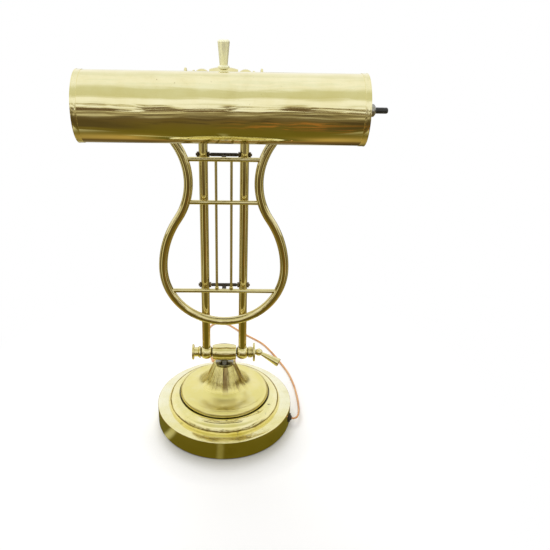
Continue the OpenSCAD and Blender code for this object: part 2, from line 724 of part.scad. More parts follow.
module tilt_handle() {
    seat = barrel_d / 2 - 1.2;
    top = barrel_d / 2 + handle_len;
    chamfer = 1.4;
    collar_top = barrel_d / 2 + 2;
    color(brass) at_head() {
        translate([0, 0, bolt_hole_r + 1.7]) cylinder(d = stem_d - 2, h = barrel_d / 2 - bolt_hole_r);
        difference() {
            rotate_extrude() polygon([[0, seat], [handle_collar_d / 2, seat], [handle_collar_d / 2, collar_top - 1],
                [handle_d1 / 2, collar_top], [handle_d2 / 2, top - chamfer], [handle_d2 / 2 - chamfer, top], [0, top]]);
            along_x() rotate_extrude() intersection() {
                translate([barrel_d / 2 - barrel_arc_r, 0]) circle(r = barrel_arc_r + fix_fit, $fn = 200);
                translate([0, -barrel_len / 2]) square([barrel_d, barrel_len]);
            }
        }
    }
}

module shade_stem() {
    reach = stem_len - lead_r_in_shade + 1;
    color(brass) at_head() rotate([stem_tilt, 0, 0]) difference() {
        union() {
            translate([0, 0, bolt_hole_r + 1.7]) cylinder(d = stem_d, h = reach - bolt_hole_r - 1.7);
            translate([0, 0, barrel_d / 2 + 0.05]) cylinder(d = stem_collar_d, h = stem_len - shade_r - barrel_d / 2);
            difference() {
                translate([0, 0, stem_len - shade_r - saddle_t + 1]) cylinder(d = saddle_d, h = saddle_t + 2);
                translate([-saddle_d, 0, stem_len]) rotate([0, 90, 0]) cylinder(r = shade_r + fix_fit, h = 2 * saddle_d);
            }
        }
        translate([0, 0, bolt_hole_r + 3]) cylinder(d = stem_bore_d, h = stem_len);
        difference() {
            translate([-saddle_d, 0, stem_len]) rotate([0, 90, 0]) cylinder(r = shade_r + fix_fit, h = 2 * saddle_d);
            cylinder(d = stem_d, h = stem_len);
        }
    }
}

module shade_nut() {
    face = stem_len - sqrt(pow(shade_in_r, 2) - pow(stem_nut_d / 2, 2)) + 0.05;
    color("silver") at_head() rotate([stem_tilt, 0, 0]) translate([0, 0, face]) difference() {
        hex(stem_nut_d, stem_nut_t);
        translate([0, 0, -over]) cylinder(d = stem_d + 2 * fix_fit, h = stem_nut_t + 2 * over);
    }
}

module shade_shell() {
    color(brass) difference() {
        at_shade() rotate([0, 0, shade_start]) {
            rotate_extrude(angle = shade_turn, $fn = 128) translate([shade_in_r, -end_x]) square([shade_wall, shade_len]);
            for (a = [0, shade_turn]) rotate([0, 0, a]) translate([shade_r - hem_d / 2, 0, -end_x])
                cylinder(d = hem_d, h = shade_len, $fn = 32);
        }
        at_head() rotate([stem_tilt, 0, 0]) translate([0, 0, barrel_d / 2])
            cylinder(d = stem_d + 2 * fix_fit, h = stem_len - barrel_d);
    }
}

// End cap with a band over the shade, drawn for the right end, with a hole of the given radius
module shade_cap_form(hole_r) {
    r = shade_r + fix_fit + band_t;
    at_shade() difference() {
        union() {
            rotate([0, 0, shade_start]) rotate_extrude(angle = shade_turn, $fn = 128)
                translate([shade_r + fix_fit, end_x - band_w]) square([band_t, band_w + cap_plate]);
            translate([0, 0, end_x]) difference() {
                cylinder(r = r, h = cap_plate, $fn = 128);
                rotate([0, 0, shade_start - mouth_half]) translate([mouth_depth, -shade_d, -over])
                    cube([shade_d, 2 * shade_d, cap_plate + 2 * over]);
            }
        }
        if (hole_r > 0) cylinder(r = hole_r, h = shade_len);
    }
}

module shade_cap_left() { color(brass) mirror([1, 0, 0]) shade_cap_form(0); }
module shade_cap_right() { color(brass) shade_cap_form(bush_d / 2 + fix_fit); }

module lampholder() {
    r = holder_d / 2;
    color("ivory") at_shade() rotate_extrude() polygon([[0, lamp_seat_x], [lamp_cap_d / 2 + 0.15, lamp_seat_x],
        [lamp_cap_d / 2 + 0.15, holder_x], [r - 2, holder_x], [r, holder_x + 3], [r, switch_x], [0, switch_x]]);
}

module lamp_cap() {
    color("silver") at_shade() translate([0, 0, glass_x]) cylinder(d = lamp_cap_d, h = lamp_cap_len - 0.1);
}

module lamp_bulb() {
    r = bulb_d / 2;
    left = glass_x - bulb_len;
    neck = lamp_cap_d / 2 + 0.6;
    shoulder = 10;
    color("white", 0.6) at_shade() rotate_extrude() polygon(concat(
        [[0, left]], arc([0, left + r], r, -80, 0, 12), [[r, glass_x - shoulder], [neck, glass_x], [0, glass_x],
         [0, glass_x - bulb_wall], [neck - bulb_wall, glass_x - bulb_wall],
         [r - bulb_wall, glass_x - shoulder - bulb_wall / 2]],
        arc([0, left + r], r - bulb_wall, 0, -80, 12), [[0, left + bulb_wall]]));
}

module switch_body() {
    color("black") at_shade() difference() {
        translate([0, 0, switch_x]) cylinder(d = holder_d, h = switch_len);
        translate([0, 0, end_x - 8]) cylinder(r = spindle_d / 2 + run_fit + 0.4, h = 8 + over);
    }
}

module switch_bush() {
    out = end_x + cap_plate;
    nut_end = out + switch_washer_t + switch_nut_t;
    color("gray") at_shade() rotate_extrude() polygon([[spindle_d / 2 + run_fit, end_x], [bush_d / 2, end_x],
        [bush_d / 2, nut_end + 0.05], [bush_ferrule_d / 2, nut_end + 0.05], [bush_ferrule_d / 2, out + bush_out - 1.5],
        [bush_d / 2 - 0.6, out + bush_out], [spindle_d / 2 + run_fit, out + bush_out]]);
}

module switch_washer() {
    color("gray") at_shade() translate([0, 0, end_x + cap_plate]) difference() {
        cylinder(d = switch_washer_d, h = switch_washer_t);
        translate([0, 0, -over]) cylinder(r = bush_d / 2 + fix_fit, h = switch_washer_t + 2 * over);
    }
}

module switch_nut() {
    color("gray") at_shade() translate([0, 0, end_x + cap_plate + switch_washer_t]) difference() {
        hex(switch_nut_d, switch_nut_t);
        translate([0, 0, -over]) cylinder(r = bush_d / 2 + fix_fit, h = switch_nut_t + 2 * over);
    }
}

module switch_knob() {
    start = end_x + cap_plate + bush_out + side_gap;
    r = knob_d / 2;
    color("black") at_shade() rotate_extrude() polygon(concat([[0, end_x - 6], [spindle_d / 2, end_x - 6],
        [spindle_d / 2, start], [r, start]], arc([r - 1.8, start + knob_len - 1.8], 1.8, 0, 90, 6),
        [[0, start + knob_len]]));
}

// Lead from the stem to the switch, along the shade's back
module shade_lead() {
    turn = 180 - stem_tilt + 90;
    drop_x = switch_x + switch_len / 2;
    r = lead_d / 2;
    color("sienna") at_shade() rotate([0, 0, turn - 90]) {
        translate([lead_r_in_shade - r - 1.2, 0, 0]) cylinder(r = r, h = drop_x + r + 0.4, $fn = 24);
        translate([holder_d / 2 + 0.05, 0, drop_x]) rotate([0, 90, 0])
            cylinder(r = r - 0.1, h = lead_r_in_shade - r - 1.2 - holder_d / 2, $fn = 24);
    }
}

// Cord and what is on it
// Point of the coil after a number of turns: down the left, round the front, up the right, round the back
function coil_point(turn) =
    let (period = coil_turns + 0.5, layer = min(coil_layers - 1, floor(turn / period)), s = turn - layer * period,
         f = s < coil_turns + 0.25 ? s : 2 * coil_turns + 0.5 - s,
         r = layer % 2 == 0 ? coil_out_r - coil_step * f : coil_in_r + coil_step * f,
         z = coil_z + coil_rise * (layer + blend01((s - coil_turns) / 0.5)))
    [coil_x + r * cos(180 + 360 * turn), coil_y + r * sin(180 + 360 * turn), z];

coil_total = coil_layers * (coil_turns + 0.5) - 0.5;
coil_tail = concat(
    [for (f = [1:5]) [coil_x + coil_out_r, coil_y + tail_run * f / 5, coil_last_z + coil_rise * blend01((f - 1) / 4)]],
    [for (a = [15:15:180]) [coil_x + coil_out_r - tail_fold_r * (1 - cos(a)),
        coil_y + tail_run + tail_fold_r * sin(a),
        coil_last_z + coil_rise + (plug_entry_z - coil_last_z - coil_rise) * blend01(a / 180)]],
    [[plug_x, plug_rear, plug_entry_z]]);
coil_points = concat([for (i = [0:coil_total * loop_rings]) coil_point(i / loop_rings)], coil_tail);
cord_points = spline(route, ring_step);

// Distance from a point to a straight piece of the cord
function piece_gap(p, a, b) =
    let (ab = b - a, t = min(1, max(0, ((p - a) * ab) / (ab * ab)))) norm(p - a - t * ab);
least_gap = min([for (i = [0:len(coil_points) - 1], j = [0:len(coil_points) - 2])
    if (abs(i - j) > 6) piece_gap(coil_points[i], coil_points[j], coil_points[j + 1])]) - cord_d;
echo(str("least gap of the coil to itself in mm: ", least_gap));
echo(str("cord length in mm: ", path_length(cord_points) + path_length(coil_points)));
echo(str("rings in the cord: ", len(cord_points)));

module cord() { color("peru") swept_tube(cord_points, cord_r, 8); }
module cord_coil() { color("peru") swept_tube(coil_points, cord_r, 6); }

// Band round the coil's turns, at the front left
module coil_tie() {
    inner = coil_in_r - coil_step / 4 - cord_r - 0.7;
    outer = coil_out_r + coil_step / 4 + cord_r + 0.4;
    half = (outer - inner) / 2;
    low = 0.1;
    corner = 2;
    color("black") translate([coil_x, coil_y, 0]) rotate([0, 0, 225]) translate([(inner + outer) / 2, tie_w / 2, 0])
        rotate([90, 0, 0]) linear_extrude(tie_w) difference() {
            round_box(half + tie_wall, low, tie_top, corner + tie_wall);
            round_box(half, low + tie_wall, tie_top - tie_wall, corner);
        }
}

// Outline with round corners, from one height to another
module round_box(half, low, high, r) {
    translate([-half, low + r]) square([2 * half, high - low - 2 * r]);
    translate([-half + r, low]) square([2 * (half - r), high - low]);
    for (x = [-half + r, half - r], y = [low + r, high - r]) translate([x, y]) circle(r = r, $fn = 24);
}

module plug_body() {
    front = plug_rear - plug_len;
    color("black") {
        hull() {
            translate([plug_x - plug_w / 2, front, plug_z]) cube([plug_w, plug_len * 0.55, plug_h]);
            translate([plug_x - 4, plug_rear - 2, plug_z]) cube([8, 2, 6]);
        }
    }
}

module plug_pins() {
    front = plug_rear - plug_len;
    pin_gap = 7;
    color("silver") for (side = [-1, 1]) translate([plug_x + side * pin_gap, front, plug_z + plug_h / 2])
        rotate([90, side * 30, 0]) translate([-0.8, -3, 0]) cube([1.6, 6, pin_len]);
}

base_felt();
base_weight();
base_drum();
base_step_ring();
base_bell();
base_stud();
base_under_nut();
neck_washer();
base_barrel();
cord_grommet();
base_lead();
base_knuckle_left();
base_knuckle_right();
base_bolt();
base_cap();
base_collar();
clamp_lever();
upright_left();
upright_right();
upright_lead();
lyre_frame();
lyre_bar_upper();
lyre_bar_middle();
lyre_bar_lower();
lyre_strings();
string_ferrules();
tie_rod_upper();
tie_rod_lower();
tie_nuts();
lyre_bracket_upper();
lyre_bracket_lower();
head_knuckle_left();
head_knuckle_right();
head_bolt();
head_cap_left();
head_cap_right();
head_barrel();
tilt_handle();
shade_stem();
shade_nut();
shade_shell();
shade_cap_left();
shade_cap_right();
lampholder();
lamp_bulb();
lamp_cap();
switch_body();
switch_bush();
switch_washer();
switch_nut();
shade_lead();
switch_knob();
cord();
cord_coil();
coil_tie();
plug_body();
plug_pins();
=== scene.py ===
import json
import math

import bpy
from mathutils import Matrix, Vector


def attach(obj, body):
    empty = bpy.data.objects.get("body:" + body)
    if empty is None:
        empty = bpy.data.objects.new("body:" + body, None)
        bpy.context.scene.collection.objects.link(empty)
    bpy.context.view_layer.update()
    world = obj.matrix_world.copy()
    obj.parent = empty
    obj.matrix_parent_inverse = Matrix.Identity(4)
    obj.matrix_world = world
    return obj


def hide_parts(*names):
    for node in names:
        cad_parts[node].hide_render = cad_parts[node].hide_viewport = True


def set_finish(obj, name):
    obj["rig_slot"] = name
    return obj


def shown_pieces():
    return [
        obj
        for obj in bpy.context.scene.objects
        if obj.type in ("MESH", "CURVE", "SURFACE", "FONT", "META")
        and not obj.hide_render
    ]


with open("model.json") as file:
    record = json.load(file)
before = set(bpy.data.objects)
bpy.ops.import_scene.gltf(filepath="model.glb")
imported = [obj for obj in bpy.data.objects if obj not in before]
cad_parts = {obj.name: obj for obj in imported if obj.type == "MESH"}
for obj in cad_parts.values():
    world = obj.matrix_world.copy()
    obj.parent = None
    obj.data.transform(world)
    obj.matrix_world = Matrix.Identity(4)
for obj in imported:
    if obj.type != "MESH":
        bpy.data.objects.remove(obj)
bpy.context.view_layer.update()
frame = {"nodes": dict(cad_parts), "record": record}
nodes = frame["nodes"]
mm = 0.001
bothSides = ((-1, "left"), (1, "right"))
print("frame loaded")


# camera of the photograph, 550 by 550
cameraSet = {
    "place": (0.01592, -0.69950, 0.56014),
    "forward": (0.02869, 0.89383, -0.44750),
    "roll": -1.26,
    "focalPixels": 649.21,
    "axisPixelX": 256.1,
    "imageSize": 550,
    "sensor": 36,
    "clip": (0.01, 50),
}


def placeCamera(s):
    forward = Vector(s["forward"]).normalized()
    right = Vector((forward.y, -forward.x, 0)).normalized()
    up = right.cross(forward)
    roll = math.radians(s["roll"])
    imageRight = right * math.cos(roll) - up * math.sin(roll)
    imageUp = right * math.sin(roll) + up * math.cos(roll)
    data = bpy.data.cameras.new("photoCamera")
    data.sensor_width = s["sensor"]
    data.lens = s["sensor"] * s["focalPixels"] / s["imageSize"]
    data.shift_x = 0.5 - s["axisPixelX"] / s["imageSize"]
    data.clip_start, data.clip_end = s["clip"]
    camera = bpy.data.objects.new("photoCamera", data)
    bpy.context.scene.collection.objects.link(camera)
    turn = Matrix((imageRight, imageUp, -forward)).transposed().to_4x4()
    camera.matrix_world = Matrix.Translation(Vector(s["place"])) @ turn
    bpy.context.scene.camera = camera


placeCamera(cameraSet)
print("camera placed")


# cord: the route on the table and the coil behind the foot, in millimetres
cordSet = {
    "diameter": 2.6,
    "exitRadius": 91.0,
    "exitAngle": 13,
    "exitHeight": 10,
    "exitRun": 3,
    "step": 2.6,
    "ringsPerTurn": 40,
    "route": [
        (94.6, -19.6, 10), (97, -15.6, 9.8), (98.6, -9.5, 9.2), (99.6, -2, 8), (100.3, 7, 6.2), (100.7, 17, 4.2),
        (100.8, 28, 2.5), (100.2, 42, 1.6), (97.6, 66, 1.5), (91.5, 94, 1.5), (81.5, 121, 1.5),
        (70, 148, 1.5), (57, 172, 1.5), (42, 188.5, 1.5), (29, 201, 1.5), (17, 214, 1.5), (7, 226, 1.5),
        (-3, 234.5, 1.5), (-14, 237, 1.5), (-24, 231.5, 1.5), (-29.5, 221, 1.5), (-30.5, 208, 1.5),
        (-30, 190, 1.5), (-29, 172, 1.5), (-26.6, 154, 1.5), (-23.6, 138, 1.6), (-20.6, 124, 1.9),
    ],
    # step and inner radius are in cord diameters, climb is the part of a turn up to the next layer
    "coil": {"x": -3, "y": 107, "layers": 6, "turns": 2, "step": 1.2, "inner": 3.8, "rise": 0.5, "lift": 0.9,
             "climb": 0.5, "leadIn": 6},
    "tail": {"run": 16, "steps": 8, "fold": 3.1, "end": 1, "tieGap": 0.2, "tieWall": 0.6, "plugGap": 0.3,
             "plugAxis": 3},
}


def smoothStep(t):
    t = min(1, max(0, t))
    return t * t * (3 - 2 * t)


def splinePoint(a, b, c, d, t):
    return 0.5 * (2 * b + (c - a) * t + (2 * a - 5 * b + 4 * c - d) * t * t + (3 * b - a - 3 * c + d) * t * t * t)


def smoothRoute(points, step):
    line = []
    last = len(points) - 1
    for i in range(last):
        a, b, c, d = points[max(0, i - 1)], points[i], points[i + 1], points[min(last, i + 2)]
        count = max(1, round((c - b).length / step))
        line += [splinePoint(a, b, c, d, j / count) for j in range(count)]
    return line + [points[last]]


def tailLine(s, right, top, rise):
    # the end leaves the top layer, folds back in a half circle and goes into the plug
    t, y, d = s["tail"], s["coil"]["y"], s["diameter"]
    entry = top + d / 2 + t["tieGap"] + t["tieWall"] + t["plugGap"] + t["plugAxis"]
    fold = t["fold"] * d
    line = []
    for i in range(1, t["steps"] + 1):
        share = i / t["steps"]  # climbs over the last four fifths
        line.append(Vector((right, y + t["run"] * share, top + rise * smoothStep((5 * share - 1) / 4))))
    for degrees in range(10, 190, 10):
        a = math.radians(degrees)
        line.append(Vector((right - fold * (1 - math.cos(a)), y + t["run"] + fold * math.sin(a),
                            top + rise + (entry - top - rise) * smoothStep(degrees / 180))))
    line.append(Vector((right - 2 * fold, y + t["run"] - t["end"], entry)))
    return line


def coilLine(s):
    d, c = s["diameter"], s["coil"]
    turns, layers, climb = c["turns"], c["layers"], c["climb"]
    step, rise = c["step"] * d, d + c["rise"]
    inner = c["inner"] * d
    outer = inner + turns * step
    low = d / 2 + c["lift"]
    period = turns + climb
    line = []
    for i in range(int((layers * period - climb) * s["ringsPerTurn"]) + 1):
        turn = i / s["ringsPerTurn"]
        layer = min(layers - 1, int(turn / period))
        along = turn - layer * period
        f = along if along < turns + climb / 2 else 2 * turns + climb - along
        r = outer - step * f if layer % 2 == 0 else inner + step * f
        z = low + rise * (layer + smoothStep((along - turns) / climb))
        angle = math.pi + 2 * math.pi * turn
        line.append(Vector((c["x"] + r * math.cos(angle), c["y"] + r * math.sin(angle), z)))
    line += tailLine(s, c["x"] + outer, low + (layers - 1) * rise, rise)
    return line, outer, low


def makeCord(s):
    c = s["coil"]
    coil, outer, low = coilLine(s)
    left = c["x"] - outer
    angle = math.radians(s["exitAngle"])
    way = Vector((math.cos(angle), -math.sin(angle), 0))
    start = way * s["exitRadius"] + Vector((0, 0, s["exitHeight"]))
    route = [start, start + s["exitRun"] * way] + [Vector(p) for p in s["route"]]
    route += [Vector((left, c["y"] + c["leadIn"], low)), Vector((left, c["y"], low))]
    line = smoothRoute(route, s["step"]) + coil[1:]
    curve = bpy.data.curves.new("flexCord", "CURVE")
    curve.dimensions = "3D"
    curve.twist_mode = "MINIMUM"
    curve.bevel_depth = 1.0  # each point carries its own radius
    curve.bevel_resolution = 3
    curve.use_fill_caps = True
    spline = curve.splines.new("POLY")
    spline.points.add(len(line) - 1)
    for point, p in zip(spline.points, line):
        point.co = (*(p * mm), 1)
        point.radius = s["diameter"] / 2 * mm
    spline.use_smooth = True
    cord = bpy.data.objects.new("flexCord", curve)
    bpy.context.scene.collection.objects.link(cord)
    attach(cord, "base")
    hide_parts("cord", "cord_coil")
    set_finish(cord, "cord_plastic")
    length = sum((b - a).length for a, b in zip(line, line[1:])) * mm
    print("cord laid, metres:", round(length, 3))


makeCord(cordSet)


# modelling helpers: a line of points drawn in edit mode, then spun or swept
mergeGap = 2e-6  # metres
smoothAngle = 32
cornerSet = {"tiny": 1e-6, "leastBend": 0.45, "share": 0.45, "count": 4}


def deselectAll():
    if bpy.context.object and bpy.context.object.mode != "OBJECT":
        bpy.ops.object.mode_set(mode="OBJECT")
    bpy.ops.object.select_all(action="DESELECT")


def startPiece(name):
    # the new primitive takes its place into its mesh and opens in edit mode
    piece = bpy.context.object
    piece.name = piece.data.name = name
    bpy.ops.object.transform_apply(location=True, rotation=True, scale=True)
    bpy.ops.object.mode_set(mode="EDIT")
    bpy.ops.mesh.select_all(action="SELECT")
    return piece


def addRing(name, place, turn, radius, sides, fill):
    deselectAll()
    bpy.ops.mesh.primitive_circle_add(vertices=sides, radius=radius * mm, fill_type=fill,
                                      location=place, rotation=turn)
    return startPiece(name)


def arcPoints(centre, radius, start, end, count):
    made = []
    for i in range(count + 1):
        t = math.radians(start + (end - start) * i / count)
        made.append((centre[0] + radius * math.cos(t), centre[1] + radius * math.sin(t)))
    return made


def roundCorners(outline, radius, s):
    # each sharp corner of a closed outline gets a small round edge
    made = []
    for i, p in enumerate(outline):
        a, b, c = Vector(outline[i - 1]), Vector(p), Vector(outline[(i + 1) % len(outline)])
        into, out = b - a, c - b
        if min(into.length, out.length, p[0]) < s["tiny"] or into.angle(out) < s["leastBend"]:
            made.append(tuple(b))
            continue
        cut = min(radius * math.tan(into.angle(out) / 2), s["share"] * into.length, s["share"] * out.length)
        first, last = b - into.normalized() * cut, b + out.normalized() * cut
        for k in range(s["count"] + 1):
            t = k / s["count"]
            made.append(tuple((1 - t) ** 2 * first + 2 * t * (1 - t) * b + t * t * last))
    return made


def drawLine(name, points):
    # one vertex of a small plane is drawn out along the points and back to the first
    deselectAll()
    bpy.ops.mesh.primitive_plane_add(size=mm, location=(0, 0, 0))
    piece = startPiece(name)
    bpy.ops.mesh.merge(type="CENTER")
    bpy.ops.transform.translate(value=points[0])
    here = Vector(points[0])
    for p in list(points[1:]) + [points[0]]:
        bpy.ops.mesh.extrude_region_move(TRANSFORM_OT_translate={"value": Vector(p) - here})
        here = Vector(p)
    bpy.ops.mesh.select_all(action="SELECT")
    return piece


def spinOn(angle, centre, axis, steps):
    # the operator counts angles the other way round
    bpy.ops.mesh.spin(steps=steps, angle=-angle, center=centre, axis=axis)


def closeMesh(piece, gap=mergeGap):
    bpy.ops.mesh.select_all(action="SELECT")
    bpy.ops.mesh.remove_doubles(threshold=gap)
    bpy.ops.mesh.delete_loose()
    bpy.ops.mesh.select_all(action="SELECT")
    bpy.ops.mesh.normals_make_consistent(inside=False)
    bpy.ops.object.mode_set(mode="OBJECT")
    bpy.ops.object.shade_smooth_by_angle(angle=math.radians(smoothAngle))
    return piece


def closeEnds(piece, closing):
    # a part turn leaves two open ends
    bpy.ops.object.mode_set(mode="EDIT")
    bpy.ops.mesh.select_mode(type="EDGE")
    bpy.ops.mesh.select_all(action="DESELECT")
    bpy.ops.mesh.select_non_manifold()
    closing()
    bpy.ops.mesh.select_mode(type="VERT")
    return closeMesh(piece)


def turned(name, outline, steps, corner, base=(0, 0, 0), axis=(0, 0, 1), sweep=360, startAngle=0):
    # outline of (radius, height) in millimetres about an axis through base
    along = Vector(axis).normalized()
    side = Vector((1, 0, 0)) if abs(along.x) < 0.5 else Vector((0, 1, 0))
    side = (side - along * side.dot(along)).normalized()
    side = Matrix.Rotation(math.radians(startAngle), 3, along) @ side
    foot = Vector(base) * mm
    shape = roundCorners(outline, corner, cornerSet) if corner else outline
    piece = drawLine(name, [foot + (side * r + along * h) * mm for r, h in shape])
    spinOn(math.radians(sweep), foot, along, steps)
    return closeMesh(piece)


def rod(name, start, end, radius, sides):
    # a ring is drawn out from one end to the other, both ends closed
    a, b = Vector(start) * mm, Vector(end) * mm
    turn = (b - a).normalized().to_track_quat("Z", "Y").to_euler()
    piece = addRing(name, a, turn, radius, sides, "NGON")
    bpy.ops.mesh.extrude_region_move(TRANSFORM_OT_translate={"value": b - a})
    return closeMesh(piece)


def joinPieces(name, pieces):
    deselectAll()
    for p in pieces:
        p.select_set(True)
    bpy.context.view_layer.objects.active = pieces[0]
    bpy.ops.object.join()
    pieces[0].name = pieces[0].data.name = name
    return pieces[0]


def fit(piece, body, slot, replaced):
    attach(piece, body)
    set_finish(piece, slot)
    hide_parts(replaced)


# foot: drum, step ring and bell, radius and height in millimetres
footSet = {
    "drumRadius": 87.5, "drumHeight": 26.0, "rimLift": 0.8, "wall": 1.2, "edge": 1.5, "topHole": 54.1,
    "ringRadius": 73.0, "ringHeight": 13.0, "seatRadius": 59.1, "seatHeight": 35.0, "seatInner": 50.1,
    "bellRadius": 57.5, "bellRise": 12.0, "bead": 6.5, "beadLand": 1.0, "neckRadius": 13.5, "neckHeight": 84.0,
    "lean": 24.0, "plate": 2.0, "studHole": 4.8, "steps": 160, "corner": 0.4, "ringCorner": 0.3,
}


def makeFoot(s):
    w, seat, steps = s["wall"], s["seatHeight"], s["steps"]
    r, h, e, lift = s["drumRadius"], s["drumHeight"], s["edge"], s["rimLift"]
    drum = turned("drum", [(r, lift)] + arcPoints((r - e, h - e), e, 0, 90, 8)
                  + [(s["topHole"], h), (s["topHole"], h - w), (r - w, h - w), (r - w, lift)], steps, s["corner"])
    fit(drum, "base", "spun_brass", "base_drum")
    quarter, seatRadius = s["ringHeight"], s["seatRadius"]
    centre = (s["ringRadius"] - quarter, h)
    wallRadius = seatRadius + w
    turnIn = math.degrees(math.acos((wallRadius - centre[0]) / (quarter - w)))
    ring = turned("stepRing", arcPoints(centre, quarter, 0, 90, 24)
                  + [(seatRadius, h + quarter), (seatRadius, seat), (s["seatInner"], seat),
                     (s["seatInner"], seat - w), (wallRadius, seat - w)]
                  + arcPoints(centre, quarter - w, turnIn, 0, 20), steps, s["ringCorner"])
    fit(ring, "base", "spun_brass", "base_step_ring")
    lean = math.radians(s["lean"])
    slope, neck, neckTop = math.tan(lean), s["neckRadius"], s["neckHeight"]
    beadTop = seat + s["bellRise"]
    flareX = s["bellRadius"] - s["bead"] - s["beadLand"]
    flare = (flareX - neck - slope * (neckTop - beadTop)) / (math.cos(lean) - slope * (1 - math.sin(lean)))
    bead = (s["bellRadius"] - s["bead"], beadTop - s["bead"])
    centre = (flareX, beadTop + flare)
    under = neckTop - s["plate"]
    bell = turned("bell", [(s["bellRadius"], seat)] + arcPoints(bead, s["bead"], 0, 90, 16)
                  + arcPoints(centre, flare, 270, 180 + s["lean"], 32)
                  + [(neck, neckTop), (s["studHole"], neckTop), (s["studHole"], under),
                     (neck + s["plate"] * slope - w / math.cos(lean), under)]
                  + arcPoints(centre, flare + w, 180 + s["lean"], 270, 24)
                  + arcPoints(bead, s["bead"] - w, 90, 0, 12) + [(s["bellRadius"] - w, seat)], steps, s["corner"])
    fit(bell, "base", "spun_brass", "base_bell")
    print("foot modelled")


makeFoot(footSet)


# pivots: barrel, ball knuckles, caps and collar, lengths along the bolt in millimetres
pivotSet = {
    "low": 99.5, "high": 440.0, "hole": 3.05, "barrelRadius": 11.0, "barrelEnd": 8.7, "barrelHalf": 15.0,
    "ball": 9.0, "ballX": 22.8, "ballIn": 15.3, "ballOut": 30.3, "capX": 41.0, "capRadius": 10.0, "capThick": 2.5,
    "capNeck": 6.0, "capBead": 1.6, "capPlate": 1.2, "collarX": 39.0, "collarRadius": 12.0, "collarBead": 1.2,
    "steps": 72, "barrelCorner": 0.5, "ballCorner": 0.4, "capSteps": 64, "capCorner": 0.3,
}
# clamp lever: a ball on the bolt's right end and a taper that leans forward and down
leverSet = {
    "x": 39.3, "ball": 4.75, "boss": 3.2, "hole": 2.06, "holeEnd": 1.9, "angle": 28.5, "slant": 0.7071,
    "root": 2 / 3, "length": 26.0, "thin": 2.3, "thick": 5.4, "flare": 0.25, "flareRun": 2.2, "chamfer": 0.9,
    "steps": 56, "ballCorner": 0.2, "taperCorner": 0.5,
}


def barrelOutline(s):
    half, sag = s["barrelHalf"], s["barrelRadius"] - s["barrelEnd"]
    r = (half * half + sag * sag) / (2 * sag)
    turn = math.degrees(math.asin(half / r))
    return arcPoints((s["barrelRadius"] - r, 0), r, -turn, turn, 28) + [(s["hole"], half), (s["hole"], -half)]


def ballOutline(s):
    inner, outer = s["ballIn"] - s["ballX"], s["ballOut"] - s["ballX"]
    a, b = math.degrees(math.asin(inner / s["ball"])), math.degrees(math.asin(outer / s["ball"]))
    return [(s["hole"], inner)] + arcPoints((0, 0), s["ball"], a, b, 28) + [(s["hole"], outer)]


def flangeEdge(s, radius, end):
    half = s["capThick"] / 2
    return arcPoints((radius - half, end - s["capThick"] + half), half, -90, 90, 10)


def capOutline(s):
    n, x, bead, end, hole = s["capNeck"], s["ballOut"], s["capBead"], s["capX"], s["hole"]
    plate = end - s["capPlate"]
    return ([(hole, x), (n + bead, x), (n + bead, x + bead), (n, x + 2 * bead), (n, end - s["capThick"])]
            + flangeEdge(s, s["capRadius"], end) + [(0, end), (0, plate), (hole, plate)])


def collarOutline(s):
    n, x, bead, end, hole = s["capNeck"], s["ballOut"], s["collarBead"], s["collarX"], s["hole"]
    return ([(hole, x), (n, x)] + arcPoints((n, x + bead), bead, -90, 90, 10)
            + arcPoints((n, x + 3 * bead), bead, -90, 90, 10) + [(n, end - s["capThick"])]
            + flangeEdge(s, s["collarRadius"], end) + [(hole, end)])


def makePivot(s, height, prefix, body):
    # a barrel on the foot or the head, between two balls on the column
    barrel = turned(prefix + "Barrel", barrelOutline(s), s["steps"], s["barrelCorner"], (0, 0, height), (1, 0, 0))
    fit(barrel, body, "turned_brass", body + "_barrel")
    for side, word in bothSides:
        ball = turned(prefix + "Ball" + word.title(), ballOutline(s), s["steps"], s["ballCorner"],
                      (side * s["ballX"], 0, height), (side, 0, 0))
        fit(ball, "column", "turned_brass", body + "_knuckle_" + word)


def makeLever(s, height):
    ballX = s["x"] + s["ball"]
    boss = math.sqrt(s["ball"] ** 2 - s["boss"] ** 2)
    turnTo = math.degrees(math.asin(boss / s["ball"]))
    holeEnd = ballX + s["holeEnd"]
    ball = turned("clampLever", [(s["hole"], s["x"]), (s["boss"], s["x"])]
                  + arcPoints((0, ballX), s["ball"], -turnTo, 90, 24) + [(0, holeEnd), (s["hole"], holeEnd)],
                  s["steps"], s["ballCorner"], (0, 0, height), (1, 0, 0))
    angle = math.radians(s["angle"])
    lean = -math.sin(angle) * s["slant"]
    start = s["ball"] * s["root"]
    end = start + s["length"]
    taper = turned("leverTaper", [(0, start), (s["thin"], start), (s["thin"] + s["flare"], start + s["flareRun"]),
                   (s["thick"], end - s["chamfer"]), (s["thick"] - s["chamfer"], end), (0, end)],
                   s["steps"], s["taperCorner"], (ballX, 0, height), (math.cos(angle), lean, lean))
    fit(joinPieces("clampLever", [ball, taper]), "lever", "turned_brass", "clamp_lever")


def makePivots(s):
    makePivot(s, s["low"], "foot", "base")
    makePivot(s, s["high"], "head", "head")
    for name, height, side, node in (("footCap", s["low"], -1, "base_cap"),
                                     ("headCapLeft", s["high"], -1, "head_cap_left"),
                                     ("headCapRight", s["high"], 1, "head_cap_right")):
        cap = turned(name, capOutline(s), s["capSteps"], s["capCorner"], (0, 0, height), (side, 0, 0))
        fit(cap, "column", "turned_brass", node)
    collar = turned("footCollar", collarOutline(s), s["capSteps"], s["capCorner"], (0, 0, s["low"]), (1, 0, 0))
    fit(collar, "column", "turned_brass", "base_collar")
    makeLever(leverSet, s["low"])
    print("pivots modelled")


makePivots(pivotSet)


